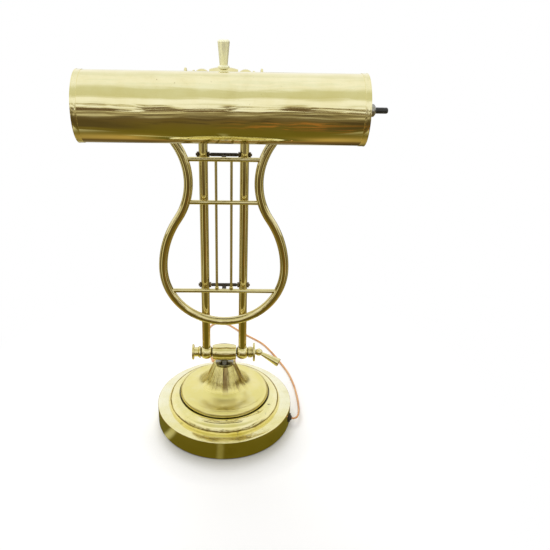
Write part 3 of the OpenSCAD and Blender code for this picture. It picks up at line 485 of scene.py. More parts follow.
# column: uprights, lyre, bars and strings in millimetres
columnSet = {
    "uprightX": 22.8, "uprightRadius": 5.0, "uprightSides": 56, "low": 103.4, "high": 436.1,
    "plane": -12.0, "tube": 5.0, "bowl": 71.0, "bowlZ": 223.5, "neck": 39.0, "neckZ": 330.0, "neckBend": 80.0,
    "armTurn": 46.0, "lyreSides": 40, "lyreSteps": (44, 20, 34), "domeSteps": 6, "domeTip": 1e-4, "seamGap": 2e-5,
    "barRadius": 2.5, "barSides": 40, "bars": {"upper": 356.0, "middle": 306.5, "lower": 194.5}, "cope": 0.8,
    "stringX": 8.5, "stringRadius": 1.5, "stringSides": 28, "stringSink": 0.6,
    "tieLift": 2.0, "sleeve": 2.0, "sleeveSides": 32, "sleeveHalf": 15.0,
    "tongue": (5.0, 9.8, 1.6), "tongueEdge": 0.2,
}


def makeLyre(s):
    step, rise = s["bowl"] - s["neck"], s["neckZ"] - s["bowlZ"]
    flank = (step * step + rise * rise) / (2 * step) - s["neckBend"]
    flankX, bendX = s["bowl"] - flank, s["neck"] + s["neckBend"]
    flankTurn = math.atan2(rise, bendX - flankX)
    armTurn = math.radians(s["armTurn"])
    plane = s["plane"] * mm
    halves = []
    for side in (1, -1):
        # a ring at the bowl's lowest point is spun up through the bowl, the flank and the neck
        half = addRing("lyreHalf", (0, plane, (s["bowlZ"] - s["bowl"]) * mm), (0, math.pi / 2, 0), s["tube"],
                       s["lyreSides"], "NOTHING")
        bends = ((0, s["bowlZ"], math.pi / 2, -1), (side * flankX, s["bowlZ"], flankTurn, -1),
                 (side * bendX, s["neckZ"], flankTurn + armTurn, 1))
        for (x, z, angle, way), steps in zip(bends, s["lyreSteps"]):
            spinOn(angle, (x * mm, plane, z * mm), (0, side * way, 0), steps)
        out = Vector((side * math.sin(armTurn), 0, math.cos(armTurn)))
        for k in range(s["domeSteps"]):
            a, b = (math.radians(90 * i / s["domeSteps"]) for i in (k, k + 1))
            bpy.ops.mesh.extrude_region_move(
                TRANSFORM_OT_translate={"value": out * s["tube"] * mm * (math.sin(b) - math.sin(a))})
            bpy.ops.transform.resize(value=[max(s["domeTip"], math.cos(b)) / math.cos(a)] * 3)
        bpy.ops.object.mode_set(mode="OBJECT")
        halves.append(half)
    lyre = joinPieces("lyre", halves)
    bpy.ops.object.mode_set(mode="EDIT")
    return closeMesh(lyre, s["seamGap"])


def makeBracket(s, word, z):
    # slim sleeve on the tie rod with a tongue to the back of the bar
    wide, deep, thick = (v * mm for v in s["tongue"])
    name, half, lift = "bracket" + word.title(), s["sleeveHalf"], s["tieLift"]
    sleeve = rod(name, (-half, 0, z + lift), (half, 0, z + lift), s["sleeve"], s["sleeveSides"])
    deselectAll()
    bpy.ops.mesh.primitive_cube_add(size=1, location=(0, -deep / 2, (z + lift / 2) * mm),
                                    scale=(wide, deep, thick), rotation=(math.atan2(lift, -s["plane"]), 0, 0))
    tongue = startPiece(name + "Tongue")
    bpy.ops.mesh.bevel(offset=thick * s["tongueEdge"], segments=2, affect="EDGES")
    closeMesh(tongue)
    return joinPieces(name, [sleeve, tongue])


def makeColumn(s):
    for side, word in bothSides:
        x = side * s["uprightX"]
        tube = rod("upright" + word.title(), (x, 0, s["low"]), (x, 0, s["high"]), s["uprightRadius"],
                   s["uprightSides"])
        fit(tube, "column", "tube_brass", "upright_" + word)
    fit(makeLyre(s), "column", "tube_brass", "lyre_frame")
    plane, bars = s["plane"], s["bars"]
    for word, z in bars.items():
        if word == "lower":
            half = math.sqrt(s["bowl"] ** 2 - (s["bowlZ"] - z) ** 2)
        else:
            half = s["neck"] + s["neckBend"] - math.sqrt(s["neckBend"] ** 2 - (z - s["neckZ"]) ** 2)
        half -= s["tube"] * s["cope"]
        bar = rod("bar" + word.title(), (-half, plane, z), (half, plane, z), s["barRadius"], s["barSides"])
        fit(bar, "column", "tube_brass", "lyre_bar_" + word)
    for word in ("upper", "lower"):
        fit(makeBracket(s, word, bars[word]), "column", "dark_steel", "lyre_bracket_" + word)
    low, high = bars["lower"] + s["stringSink"], bars["upper"] - s["stringSink"]
    strings = [rod("string", (x, plane, low), (x, plane, high), s["stringRadius"], s["stringSides"])
               for x in (-s["stringX"], s["stringX"])]
    fit(joinPieces("strings", strings), "column", "tube_brass", "lyre_strings")
    print("column modelled")


makeColumn(columnSet)


# head: shade, end caps, handle and stem in millimetres
headSet = {
    "axis": (-55.0, 420.5), "pivot": 440.0, "half": 140.0, "radius": 34.5, "wall": 0.8, "front": 77.0,
    "back": 190.0, "lengthSteps": 20, "roundSteps": 150, "hem": 1.2, "hemSides": 24,
    "bandWidth": 5.0, "bandThick": 0.7, "bandShown": 0.4, "bandGap": 0.03,
    "bandCorner": 0.28, "bandSteps": 110, "plateInset": 0.1, "plateSteps": 90,
    "barrel": 11.0,
    "handle": {"seat": 9.8, "pin": 3.0, "pinLength": 2.0, "collar": 6.0, "collarRise": 1.0, "thin": 4.2,
               "thinRise": 2.2, "thick": 6.3, "top": 38.0, "chamfer": 1.4, "steps": 72, "corner": 0.5},
    "stem": {"radius": 4.0, "root": 4.8, "collar": 6.0, "collarSink": 0.3, "saddle": 9.0, "saddleThick": 4.0,
             "saddleSink": 0.6, "saddleLip": 1.2, "shoulder": 25.2, "thin": 2.2, "end": 30.0, "steps": 64,
             "corner": 0.35},
}


def makeShade(s):
    y, z = s["axis"]
    h, r, count = s["half"], s["radius"], s["lengthSteps"]
    start, sweep = 180 - s["back"], s["front"] + s["back"]
    # outline runs along the shade in many short steps, so that reflections stay even
    along = [-h + 2 * h * i / count for i in range(count + 1)]
    outline = [(r, x) for x in along] + [(r - s["wall"], x) for x in reversed(along)]
    shell = turned("shadeShell", outline, s["roundSteps"], 0, (0, y, z), (1, 0, 0), sweep, start)
    closeEnds(shell, bpy.ops.mesh.fill)
    hems = []
    for angle in (start, start + sweep):
        t = math.radians(angle)
        c = (y + (r - s["hem"]) * math.cos(t), z + (r - s["hem"]) * math.sin(t))
        hems.append(rod("hem", (-h, *c), (h, *c), s["hem"], s["hemSides"]))
    fit(joinPieces("shadeShell", [shell] + hems), "head", "spun_brass", "shade_shell")
    for side, word in bothSides:
        fit(makeShadeCap(s, side, word, start, sweep), "head", "spun_brass", "shade_cap_" + word)


def makeShadeCap(s, side, word, start, sweep):
    y, z = s["axis"]
    h, t, inner = s["half"], s["bandThick"], s["radius"] + s["bandGap"]
    shown = inner + s["bandShown"]
    a, b = (h - s["bandWidth"], h + t) if side > 0 else (-h - t, -h + s["bandWidth"])
    band = turned("shadeCap", [(inner, a), (shown, a), (shown, b), (inner, b)], s["bandSteps"], s["bandCorner"],
                  (0, y, z), (1, 0, 0), sweep, start)
    closeEnds(band, bpy.ops.mesh.edge_face_add)
    # plate: an arc of the shade's round with a straight mouth, drawn out to its thickness
    x = h if side > 0 else -h - t
    rim = arcPoints((y, z), inner + t - s["plateInset"], start, start + sweep, s["plateSteps"])
    plate = drawLine("capPlate", [Vector((x, *p)) * mm for p in rim])
    bpy.ops.mesh.remove_doubles(threshold=mergeGap)
    bpy.ops.mesh.select_all(action="SELECT")
    bpy.ops.mesh.edge_face_add()
    bpy.ops.mesh.extrude_region_move(TRANSFORM_OT_translate={"value": (t * mm, 0, 0)})
    closeMesh(plate)
    return joinPieces("shadeCap" + word.title(), [band, plate])


def makeHandle(s):
    k, barrel = s["handle"], s["barrel"]
    seat, pinEnd = k["seat"], k["seat"] - k["pinLength"]
    outline = [(0, pinEnd), (k["pin"], pinEnd), (k["pin"], seat), (k["collar"], seat),
               (k["collar"], barrel + k["collarRise"]), (k["thin"], barrel + k["thinRise"]),
               (k["thick"], k["top"] - k["chamfer"]), (k["thick"] - k["chamfer"], k["top"]), (0, k["top"])]
    handle = turned("tiltHandle", outline, k["steps"], k["corner"], (0, 0, s["pivot"]))
    fit(handle, "head", "turned_brass", "tilt_handle")


def makeStem(s):
    k, (y, z) = s["stem"], s["axis"]
    way = Vector((0, y, z - s["pivot"]))
    r, root, collar, saddle, thin = k["radius"], k["root"], k["collar"], k["saddle"], k["thin"]
    low = s["barrel"] - k["collarSink"]
    face = way.length - s["radius"] + k["saddleSink"]
    under, top = face - k["saddleThick"], face + k["saddleLip"]
    shoulder, end = way.length - k["shoulder"], way.length - k["end"]
    outline = [(0, root), (r, root), (r, low), (collar, low), (collar, under), (saddle, under + k["saddleLip"]),
               (saddle, top), (r, top), (r, shoulder), (thin, shoulder), (thin, end), (0, end)]
    stem = turned("shadeStem", outline, k["steps"], k["corner"], (0, 0, s["pivot"]), way)
    fit(stem, "head", "turned_brass", "shade_stem")


makeShade(headSet)
makeHandle(headSet)
makeStem(headSet)
print("head modelled")


# shader maths: one socket wrapped so that expressions add their own nodes
class Value:
    def __init__(self, tree, socket):
        self.tree, self.socket = tree, socket

    def math(self, operation, other=None, swapped=False):
        node = self.tree.nodes.new("ShaderNodeMath")
        node.operation = operation
        first, second = (other, self) if swapped else (self, other)
        for slot, item in zip(node.inputs, (first, second)):
            if isinstance(item, Value):
                self.tree.links.new(item.socket, slot)
            elif item is not None:
                slot.default_value = item
        return Value(self.tree, node.outputs[0])

    def __add__(self, o): return self.math("ADD", o)
    def __radd__(self, o): return self.math("ADD", o, True)
    def __sub__(self, o): return self.math("SUBTRACT", o)
    def __rsub__(self, o): return self.math("SUBTRACT", o, True)
    def __mul__(self, o): return self.math("MULTIPLY", o)
    def __rmul__(self, o): return self.math("MULTIPLY", o, True)
    def __truediv__(self, o): return self.math("DIVIDE", o)
    def __rtruediv__(self, o): return self.math("DIVIDE", o, True)
    def __pow__(self, o): return self.math("POWER", o)


class Finish:
    # a material or world and its nodes
    def __init__(self, name, world=False):
        self.item = bpy.data.worlds.new(name) if world else bpy.data.materials.new(name)
        self.item.use_nodes = True
        self.tree = self.item.node_tree
        self.tree.nodes.clear()

    def node(self, kind, settings=None, out=0, **sockets):
        # sockets go by name, or by number as i0, i1; out is one output, or several in brackets
        made = self.tree.nodes.new("ShaderNode" + kind)
        for key, value in (settings or {}).items():
            if key == "stops":
                ramp = made.color_ramp
                while len(ramp.elements) < len(value):
                    ramp.elements.new(0.5)
                for element, (place, colour) in zip(ramp.elements, value):
                    element.position, element.color = place, (*colour, 1)
            else:
                setattr(made, key, value)
        for key, value in sockets.items():
            numbered = key[0] == "i" and key[1:].isdigit()
            socket = made.inputs[int(key[1:]) if numbered else key.replace("_", " ")]
            if isinstance(value, Value):
                self.tree.links.new(value.socket, socket)
            else:
                socket.default_value = (*value, 1) if socket.type == "RGBA" and len(value) == 3 else value
        if isinstance(out, tuple):
            return [Value(self.tree, made.outputs[o]) for o in out]
        return Value(self.tree, made.outputs[out])

    def coords(self):
        return self.node("TexCoord", out="Object")

    def split(self, vector):
        return self.node("SeparateXYZ", out=(0, 1, 2), Vector=vector)

    def stretch(self, vector, scale):
        return self.node("Mapping", Vector=vector, Scale=scale)

    def noise(self, vector, scale, detail=3, rough=0.55):
        return self.node("TexNoise", Vector=vector, Scale=scale, Detail=detail, Roughness=rough)

    def ramp(self, value, low, high):
        return self.node("MapRange", {"interpolation_type": "SMOOTHSTEP"}, Value=value, i1=low, i2=high)

    def stops(self, value, stops):
        return self.node("ValToRGB", {"stops": stops}, Fac=value)

    def mix(self, factor, a, b):
        return self.node("Mix", {"data_type": "RGBA"}, out=2, i0=factor, i6=a, i7=b)

    def close(self, shader):
        kind = "World" if isinstance(self.item, bpy.types.World) else "Material"
        self.node("Output" + kind, out=(), Surface=shader)
        return self.item

    def principled(self, **sockets):
        return self.close(self.node("BsdfPrincipled", **sockets))


# brass colours: bright and deep metal, brown tarnish that also paints dark reflections, old polish that also
# paints shade
brassSet = {
    "bright": (0.95, 0.90, 0.60),
    "deep": (0.80, 0.71, 0.34),
    "tarnish": (0.24, 0.14, 0.05),
    "grimeAndShade": (0.10, 0.075, 0.07),
}
# the foot's brass is a paler copy, a painted highlight, and the tubes' brass a darker copy, a painted shade
footBrassSet = {**brassSet, "bright": (0.98, 0.95, 0.74), "deep": (0.86, 0.77, 0.30)}
tubeBrassSet = {**brassSet, "bright": (0.89, 0.82, 0.50), "deep": (0.65, 0.55, 0.24)}

# wear and painted corner shade on all the brass: noises as scale, detail and roughness, pairs as where a change
# starts and ends
wearAndShadeSet = {
    "cloud": (38, 5, 0.6), "patch": (11, 4, 0.6), "fine": (700, 2), "spot": (240, 2), "wave": (1.0, 2, 0.45),
    "marks": (300, 3), "uprightMarks": (900, 900, 8), "cloudEdge": (0.2, 0.8), "ageEdge": (0.54, 0.74),
    "spotEdge": (0.70, 0.76), "spotPatch": (0.45, 0.6), "agePatch": 0.6, "ageCloud": 0.4, "cloudTone": 0.5,
    "ageTone": 0.5, "spotTone": 0.45, "paintedLightShare": 0.55, "leastRough": 0.7, "markRough": 0.6, "ageRough": 0.10,
    "dirtAndShadeRough": 0.35,
    "markDepth": 0.010, "fineDepth": 0.004, "grainStrength": 0.35, "grainDistance": 0.0012,
    "cornerReach": 0.0035, "cornerEdge": (0.30, 0.72), "cornerShadeAndPolish": 0.75,
}

# wear and painted light on the foot, in metres from its axis and over the table
footWearAndLightSet = {
    "marks": 900, "grooveIn": (0.0568, 0.0578), "grooveOut": (0.0592, 0.0604), "grooveLow": (0.030, 0.033),
    "grooveHigh": (0.0365, 0.0385), "grooveShadeAndPolish": 0.85,
    "speck": (130, 3, 0.6), "speckEdge": (0.655, 0.70), "speckPatch": (0.42, 0.55), "speckDirt": 0.7,
    "stepIn": (0.058, 0.062), "stepOut": (0.072, 0.078),
    "drumTopIn": (0.072, 0.075), "drumTopLow": (0.0245, 0.0255), "drumBack": (-0.055, 0.0),
    "bellLow": (0.038, 0.042), "bellBlur": 0.17, "bellDeepLow": (0.038, 0.044), "bellDeep": 0.45,
    "neckLow": (0.050, 0.066), "neckRound": 3.2, "neckUp": 9.0, "neckNoise": (1.0, 3, 0.6), "neckReflection": 0.85,
    "reflectionEdge": (0.50, 0.66), "neckSwell": 2.6,
}

# wear on the shade: dull inside, and a brown hem, a painted dark reflection along the lip
shadeWearAndReflectionSet = {
    "marks": (6, 700, 700), "axis": (-0.055, 0.4205), "inside": (0.0338, 0.0343), "insideBlur": 0.32,
    "hemTop": (0.3926, 0.3962), "hemWander": 0.002, "hemEnds": (0.02, 0.08), "hemMiddle": 0.5, "hemMore": 0.45,
}


def footLayers(f, p, patch, s):
    x, y, z = f.split(p)
    r = (x * x + y * y) ** 0.5
    marks = f.node("TexNoise", {"noise_dimensions": "2D"}, Vector=f.node("CombineXYZ", X=r, Y=z),
                   Scale=s["marks"], Detail=3)
    # painted shade with dark polish in the groove at the bell's foot, and specks on the step
    groove = f.ramp(r, *s["grooveIn"]) * (1.0 - f.ramp(r, *s["grooveOut"])) * f.ramp(z, *s["grooveLow"])
    groove = groove * (1.0 - f.ramp(z, *s["grooveHigh"]))
    speck = f.ramp(f.noise(f.stretch(p, (1, 1, 2)), *s["speck"]), *s["speckEdge"]) * f.ramp(r, *s["stepIn"])
    speck = speck * (1.0 - f.ramp(r, *s["stepOut"])) * f.ramp(patch, *s["speckPatch"])
    # streaks that run up the neck: painted dark reflections in the tarnish colour, and bumps
    turn = f.node("CombineXYZ", X=x / r * s["neckRound"], Y=y / r * s["neckRound"], Z=z * s["neckUp"])
    flow = f.noise(turn, *s["neckNoise"])
    neck = f.ramp(z, *s["neckLow"])
    # painted light: the drum's top is painted paler behind, a painted reflection, and the bell deeper, a painted
    # shade
    paintedLight = f.ramp(r, *s["drumTopIn"]) * f.ramp(z, *s["drumTopLow"]) * f.ramp(y, *s["drumBack"])
    return {
        "marks": marks,
        "dirtAndShade": groove * s["grooveShadeAndPolish"] + speck * s["speckDirt"],
        "paintedReflection": f.ramp(flow, *s["reflectionEdge"]) * neck * s["neckReflection"],
        "paintedLight": paintedLight - f.ramp(z, *s["bellDeepLow"]) * s["bellDeep"],
        "blur": f.ramp(z, *s["bellLow"]) * (1.0 - neck) * s["bellBlur"],
        "swell": flow * neck * s["neckSwell"],
    }


def shadeLayers(f, p, patch, s):
    x, y, z = f.split(p)
    out, up = y - s["axis"][0], z - s["axis"][1]
    shell = f.ramp((up * up + out * out) ** 0.5, *s["inside"])
    # painted dark reflection along the front lip, stronger towards the ends
    ends = f.ramp(x.math("ABSOLUTE"), *s["hemEnds"]) * s["hemMore"] + s["hemMiddle"]
    hem = 1.0 - f.ramp(z + (patch - 0.5) * s["hemWander"], *s["hemTop"])
    return {
        "marks": f.noise(f.stretch(p, s["marks"]), 1.0),
        "blur": (1.0 - shell) * s["insideBlur"],
        "paintedReflection": hem * ends,
    }


def brassFinish(name, tones, lines, waviness, waveScale, tarnish, roughness, depth):
    # lines names the polishing marks: round, shade, upright, all, or corners, where old polish is left and shade
    # is painted into the corners
    s = wearAndShadeSet
    f = Finish(name)
    p = f.coords()
    cloud = f.noise(p, *s["cloud"])
    patch = f.noise(p, *s["patch"])
    layers = {"dirtAndShade": 0.0, "paintedReflection": 0.0, "paintedLight": 0.0, "blur": 0.0, "swell": 0.0}
    if lines == "round":
        layers.update(footLayers(f, p, patch, footWearAndLightSet))
    elif lines == "shade":
        layers.update(shadeLayers(f, p, patch, shadeWearAndReflectionSet))
    elif lines == "upright":
        layers["marks"] = f.noise(f.stretch(p, s["uprightMarks"]), 1.0)
    else:
        layers["marks"] = f.noise(p, *s["marks"])
    if lines == "corners":
        # painted shade: ambient occlusion darkens the corners and gaps, with old polish in them
        corner = f.node("AmbientOcclusion", {"samples": 8}, out="AO", Distance=s["cornerReach"])
        layers["dirtAndShade"] = (1.0 - f.ramp(corner, *s["cornerEdge"])) * s["cornerShadeAndPolish"]
    marks, dirtAndShade = layers["marks"], layers["dirtAndShade"]
    fine = f.noise(p, *s["fine"])
    age = f.ramp(patch * s["agePatch"] + cloud * s["ageCloud"], *s["ageEdge"])
    spots = f.ramp(f.noise(p, *s["spot"]), *s["spotEdge"]) * f.ramp(patch, *s["spotPatch"])
    deep = f.ramp(cloud, *s["cloudEdge"]) * s["cloudTone"] + (depth - s["cloudTone"] / 2)
    tone = f.mix(deep - layers["paintedLight"] * s["paintedLightShare"], tones["bright"], tones["deep"])
    # the tarnish colour also paints the dark reflections on the neck and along the shade's hem
    tone = f.mix(age * tarnish * s["ageTone"] + spots * s["spotTone"] + layers["paintedReflection"], tone, tones["tarnish"])
    # old polish and painted shade in the grooves and corners
    colour = f.mix(dirtAndShade, tone, tones["grimeAndShade"])
    rough = roughness * (s["leastRough"] + marks * s["markRough"]) + age * s["ageRough"] * tarnish
    rough = rough + dirtAndShade * s["dirtAndShadeRough"] + layers["blur"]
    wave = f.noise(f.stretch(p, waveScale), *s["wave"]) + layers["swell"]
    bump = f.node("Bump", Height=wave, Strength=1.0, Distance=waviness)
    bump = f.node("Bump", Height=marks * s["markDepth"] + fine * s["fineDepth"], Strength=s["grainStrength"],
                  Distance=s["grainDistance"], Normal=bump)
    return f.principled(Base_Color=colour, Metallic=1.0, Roughness=rough, Normal=bump)


plainSet = {"cloudSize": 8, "cloud": 0.6, "grain": 0.4, "edge": (0.3, 0.7), "gloss": 0.18, "depth": 0.0004}


def plainFinish(name, colour, roughness, metallic, scale, vary, bump=0.1, coat=0.0):
    # one colour broken up by a fine mottle, with a little grain in its gloss
    s = plainSet
    f = Finish(name)
    p = f.coords()
    grain = f.noise(p, scale, 4)
    cloud = f.noise(p, scale / s["cloudSize"])
    darker = tuple(c * (1 - 2 * vary) for c in colour)
    lighter = tuple(min(1, c * (1 + vary)) for c in colour)
    tone = f.mix(f.ramp(cloud * s["cloud"] + grain * s["grain"], *s["edge"]), darker, lighter)
    rough = roughness + (grain - 0.5) * s["gloss"]
    height = f.node("Bump", Height=grain, Strength=bump, Distance=s["depth"])
    return f.principled(Base_Color=tone, Roughness=rough, Metallic=metallic, Normal=height, Coat_Weight=coat)


feltSet = {"fibre": (1400, 5, 0.7), "nap": (220, 3), "fibreShare": 0.7, "napShare": 0.3, "edge": (0.3, 0.7),
           "dark": (0.02, 0.06, 0.03), "light": (0.06, 0.15, 0.08), "roughness": 0.95, "sheen": 0.4, "bump": 0.5,
           "depth": 0.0006}


def feltFinish(s):
    f = Finish("greenFelt")
    p = f.coords()
    fibre, nap = f.noise(p, *s["fibre"]), f.noise(p, *s["nap"])
    tone = f.mix(f.ramp(fibre * s["fibreShare"] + nap * s["napShare"], *s["edge"]), s["dark"], s["light"])
    return f.principled(Base_Color=tone, Roughness=s["roughness"], Sheen_Weight=s["sheen"],
                        Normal=f.node("Bump", Height=fibre, Strength=s["bump"], Distance=s["depth"]))


# clear gold flex with the copper strands showing through
flexSet = {"strand": (900, 2), "strandEdge": (0.55, 0.75), "strandTone": 0.35, "cloud": (60, 3),
           "cloudEdge": (0.3, 0.7), "deep": (0.62, 0.27, 0.09), "pale": (0.80, 0.44, 0.18),
           "copper": (0.40, 0.16, 0.05), "roughness": 0.32, "coat": 0.6}


def flexFinish(s):
    f = Finish("goldFlex")
    p = f.coords()
    tone = f.mix(f.ramp(f.noise(p, *s["cloud"]), *s["cloudEdge"]), s["deep"], s["pale"])
    strand = f.ramp(f.noise(p, *s["strand"]), *s["strandEdge"])
    tone = f.mix(strand * s["strandTone"], tone, s["copper"])
    return f.principled(Base_Color=tone, Roughness=s["roughness"], Coat_Weight=s["coat"])


glassSet = {"frost": (900, 3), "deep": (0.86, 0.85, 0.80), "pale": (0.95, 0.94, 0.90), "roughness": 0.30,
            "frostRough": 0.15, "clear": 0.35, "ior": 1.45}


def glassFinish(s):
    f = Finish("frostedGlass")
    frost = f.noise(f.coords(), *s["frost"])
    return f.principled(Base_Color=f.mix(frost, s["deep"], s["pale"]),
                        Roughness=s["roughness"] + frost * s["frostRough"],
                        Transmission_Weight=s["clear"], IOR=s["ior"])


# rolled thread of the lamp's cap
threadSet = {"turns": 105, "grain": (700, 3), "deep": (0.60, 0.60, 0.58), "pale": (0.80, 0.80, 0.78),
             "roughness": 0.28, "grainRough": 0.1, "bump": 0.8, "depth": 0.0008}


def threadFinish(s):
    f = Finish("lampCapMetal")
    p = f.coords()
    thread = f.node("TexWave", {"bands_direction": "X"}, Vector=p, Scale=s["turns"])
    grain = f.noise(p, *s["grain"])
    return f.principled(Base_Color=f.mix(grain, s["deep"], s["pale"]), Metallic=1.0,
                        Roughness=s["roughness"] + grain * s["grainRough"],
                        Normal=f.node("Bump", Height=thread, Strength=s["bump"], Distance=s["depth"]))


# name, colours, marks, waviness in metres, scale of the waves, tarnish, roughness, depth of colour
brassRows = {
    "spun": ("spunBrass", footBrassSet, "round", 0.0018, (24, 24, 30), 0.30, 0.13, 0.72),
    "shade": ("rolledBrass", brassSet, "shade", 0.0022, (9, 22, 22), 0.25, 0.05, 0.35),
    "cap": ("capBrass", brassSet, "all", 0.0001, (60, 60, 60), 0.30, 0.10, 0.35),
    "turned": ("turnedBrass", brassSet, "corners", 0.0006, (90, 90, 90), 0.70, 0.13, 0.75),
    "tube": ("drawnBrass", tubeBrassSet, "upright", 0.0004, (40, 40, 16), 0.45, 0.055, 0.5),
}
# name, colour, roughness, metallic, scale of the grain, mottle, bump, coat
plainRows = {
    # the handle's brass, painted paler and less metallic as a painted highlight, with a satin gloss
    "satin": ("satinBrass", (1.0, 0.95, 0.66), 0.22, 0.35, 60, 0.04, 0.02, 0.4),
    "bronze": ("darkBronze", (0.17, 0.13, 0.07), 0.36, 1.0, 420, 0.20),
    "steel": ("zincSteel", (0.55, 0.54, 0.50), 0.35, 1.0, 500, 0.10),
    "dark": ("blackSteel", (0.075, 0.062, 0.045), 0.40, 0.7, 420, 0.25),
    "bright": ("polishedSteel", (0.36, 0.35, 0.31), 0.20, 1.0, 420, 0.10, 0.05),
    "grey": ("satinNickel", (0.42, 0.41, 0.38), 0.34, 1.0, 600, 0.10),
    "iron": ("castIron", (0.10, 0.10, 0.10), 0.75, 0.6, 260, 0.25, 0.6),
    "rubber": ("grommetRubber", (0.035, 0.026, 0.018), 0.6, 0.0, 500, 0.2, 0.2),
    "lead": ("leadSheath", (0.40, 0.22, 0.09), 0.5, 0.0, 400, 0.12),
    "plug": ("plugMould", (0.42, 0.21, 0.07), 0.36, 0.0, 500, 0.10, 0.12, 0.3),
    "black": ("blackMould", (0.018, 0.018, 0.019), 0.33, 0.0, 600, 0.2, 0.15, 0.2),
    "porcelain": ("porcelain", (0.80, 0.78, 0.70), 0.22, 0.0, 200, 0.04, 0.05, 0.4),
}
finishes = {key: brassFinish(*row) for key, row in brassRows.items()}
finishes.update({key: plainFinish(*row) for key, row in plainRows.items()})
finishes.update(felt=feltFinish(feltSet), cord=flexFinish(flexSet), glass=glassFinish(glassSet),
                lampCap=threadFinish(threadSet))
print("finishes made")

slotFinish = {
    "spun_brass": "spun", "turned_brass": "turned", "tube_brass": "tube", "steel": "steel", "dark_steel": "dark",
    "grey_steel": "grey", "cast_weight": "iron", "felt": "felt", "grommet_rubber": "rubber",
    "lead_plastic": "lead", "cord_plastic": "cord", "plug_plastic": "plug", "black_plastic": "black",
    "holder_plastic": "porcelain", "lamp_glass": "glass", "lamp_cap_metal": "lampCap",
}
# pieces with a finish of their own
ownFinish = {
    "neck_washer": "bright", "base_stud": "bright", "tie_nuts": "bronze", "tie_rod_upper": "bronze",
    "tie_rod_lower": "bronze", "lyre_bracket_upper": "bronze", "lyre_bracket_lower": "bronze",
    "shadeShell": "shade", "shadeCapLeft": "cap", "shadeCapRight": "cap", "tiltHandle": "satin",
}


def dress(piece, finish):
    piece.data.materials.clear()
    piece.data.materials.append(finish)


def dressAll():
    for row in frame["record"]["subparts"]:
        name = row["node"]
        dress(nodes[name], finishes[ownFinish.get(name, slotFinish[row["material_slot"]])])
    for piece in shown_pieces():
        if "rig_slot" in piece:
            dress(piece, finishes[ownFinish.get(piece.name, slotFinish[piece["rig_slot"]])])
    print("pieces dressed")


dressAll()


# sky: white to the camera, and to the brass a room in front, a white wall behind and uneven streaks
skySet = {
    "room": [(0.0, (0.15, 0.10, 0.05)), (0.06, (0.36, 0.29, 0.17)), (0.12, (0.58, 0.53, 0.37)),
             (0.20, (0.73, 0.69, 0.52)), (0.30, (0.86, 0.865, 0.81)), (0.44, (1.0, 1.0, 1.0)),
             (0.56, (1.0, 1.0, 1.0)), (0.70, (0.69, 0.68, 0.475)), (0.92, (0.71, 0.71, 0.52)),
             (1.0, (0.93, 0.955, 0.94))],
    "back": [(0.0, (1.0, 1.0, 1.0)), (0.45, (1.0, 1.0, 1.0)), (0.72, (0.89, 0.91, 0.865)),
             (0.85, (1.0, 1.0, 1.0)), (0.95, (1.0, 1.0, 1.0)), (1.0, (0.93, 0.955, 0.94))],
    "frontEdge": (0.02, 0.42),
    "streakStretch": (15, 3, 8), "streakNoise": (1.0, 5, 0.62), "streakEdge": (0.36, 0.64),
    "streakLow": 0.75, "streakFade": 0.67, "fadeEdge": (0.20, 0.5), "streakBack": 0.16,
    "fill": 0.72, "fillTone": (1, 0.99, 0.97),
}


def makeWorld(s):
    f = Finish("studioSky", world=True)
    camera, glossy, through = f.node("LightPath", out=("Is Camera Ray", "Is Glossy Ray", "Is Transmission Ray"))
    way = f.node("TexCoord", out="Generated")
    y, z = f.split(way)[1:]
    # the room is brown near the horizon and opens to white above
    streak = f.ramp(f.noise(f.stretch(way, s["streakStretch"]), *s["streakNoise"]), *s["streakEdge"]) - 0.5
    height = z + streak * (s["streakLow"] - f.ramp(z, *s["fadeEdge"]) * s["streakFade"])
    room = f.stops(height, s["room"])
    back = f.stops(z + streak * s["streakBack"], s["back"])
    seen = f.mix(f.ramp(0.0 - y, *s["frontEdge"]), back, room)
    white = f.mix(camera + through, seen, (1, 1, 1))
    picture = f.node("Background", Color=white, Strength=1.0)
    fill = f.node("Background", Color=s["fillTone"], Strength=s["fill"])
    shown = f.node("Math", {"operation": "MAXIMUM"}, i0=camera + through, i1=glossy)
    bpy.context.scene.world = f.close(f.node("MixShader", i0=shown, i1=fill, i2=picture))


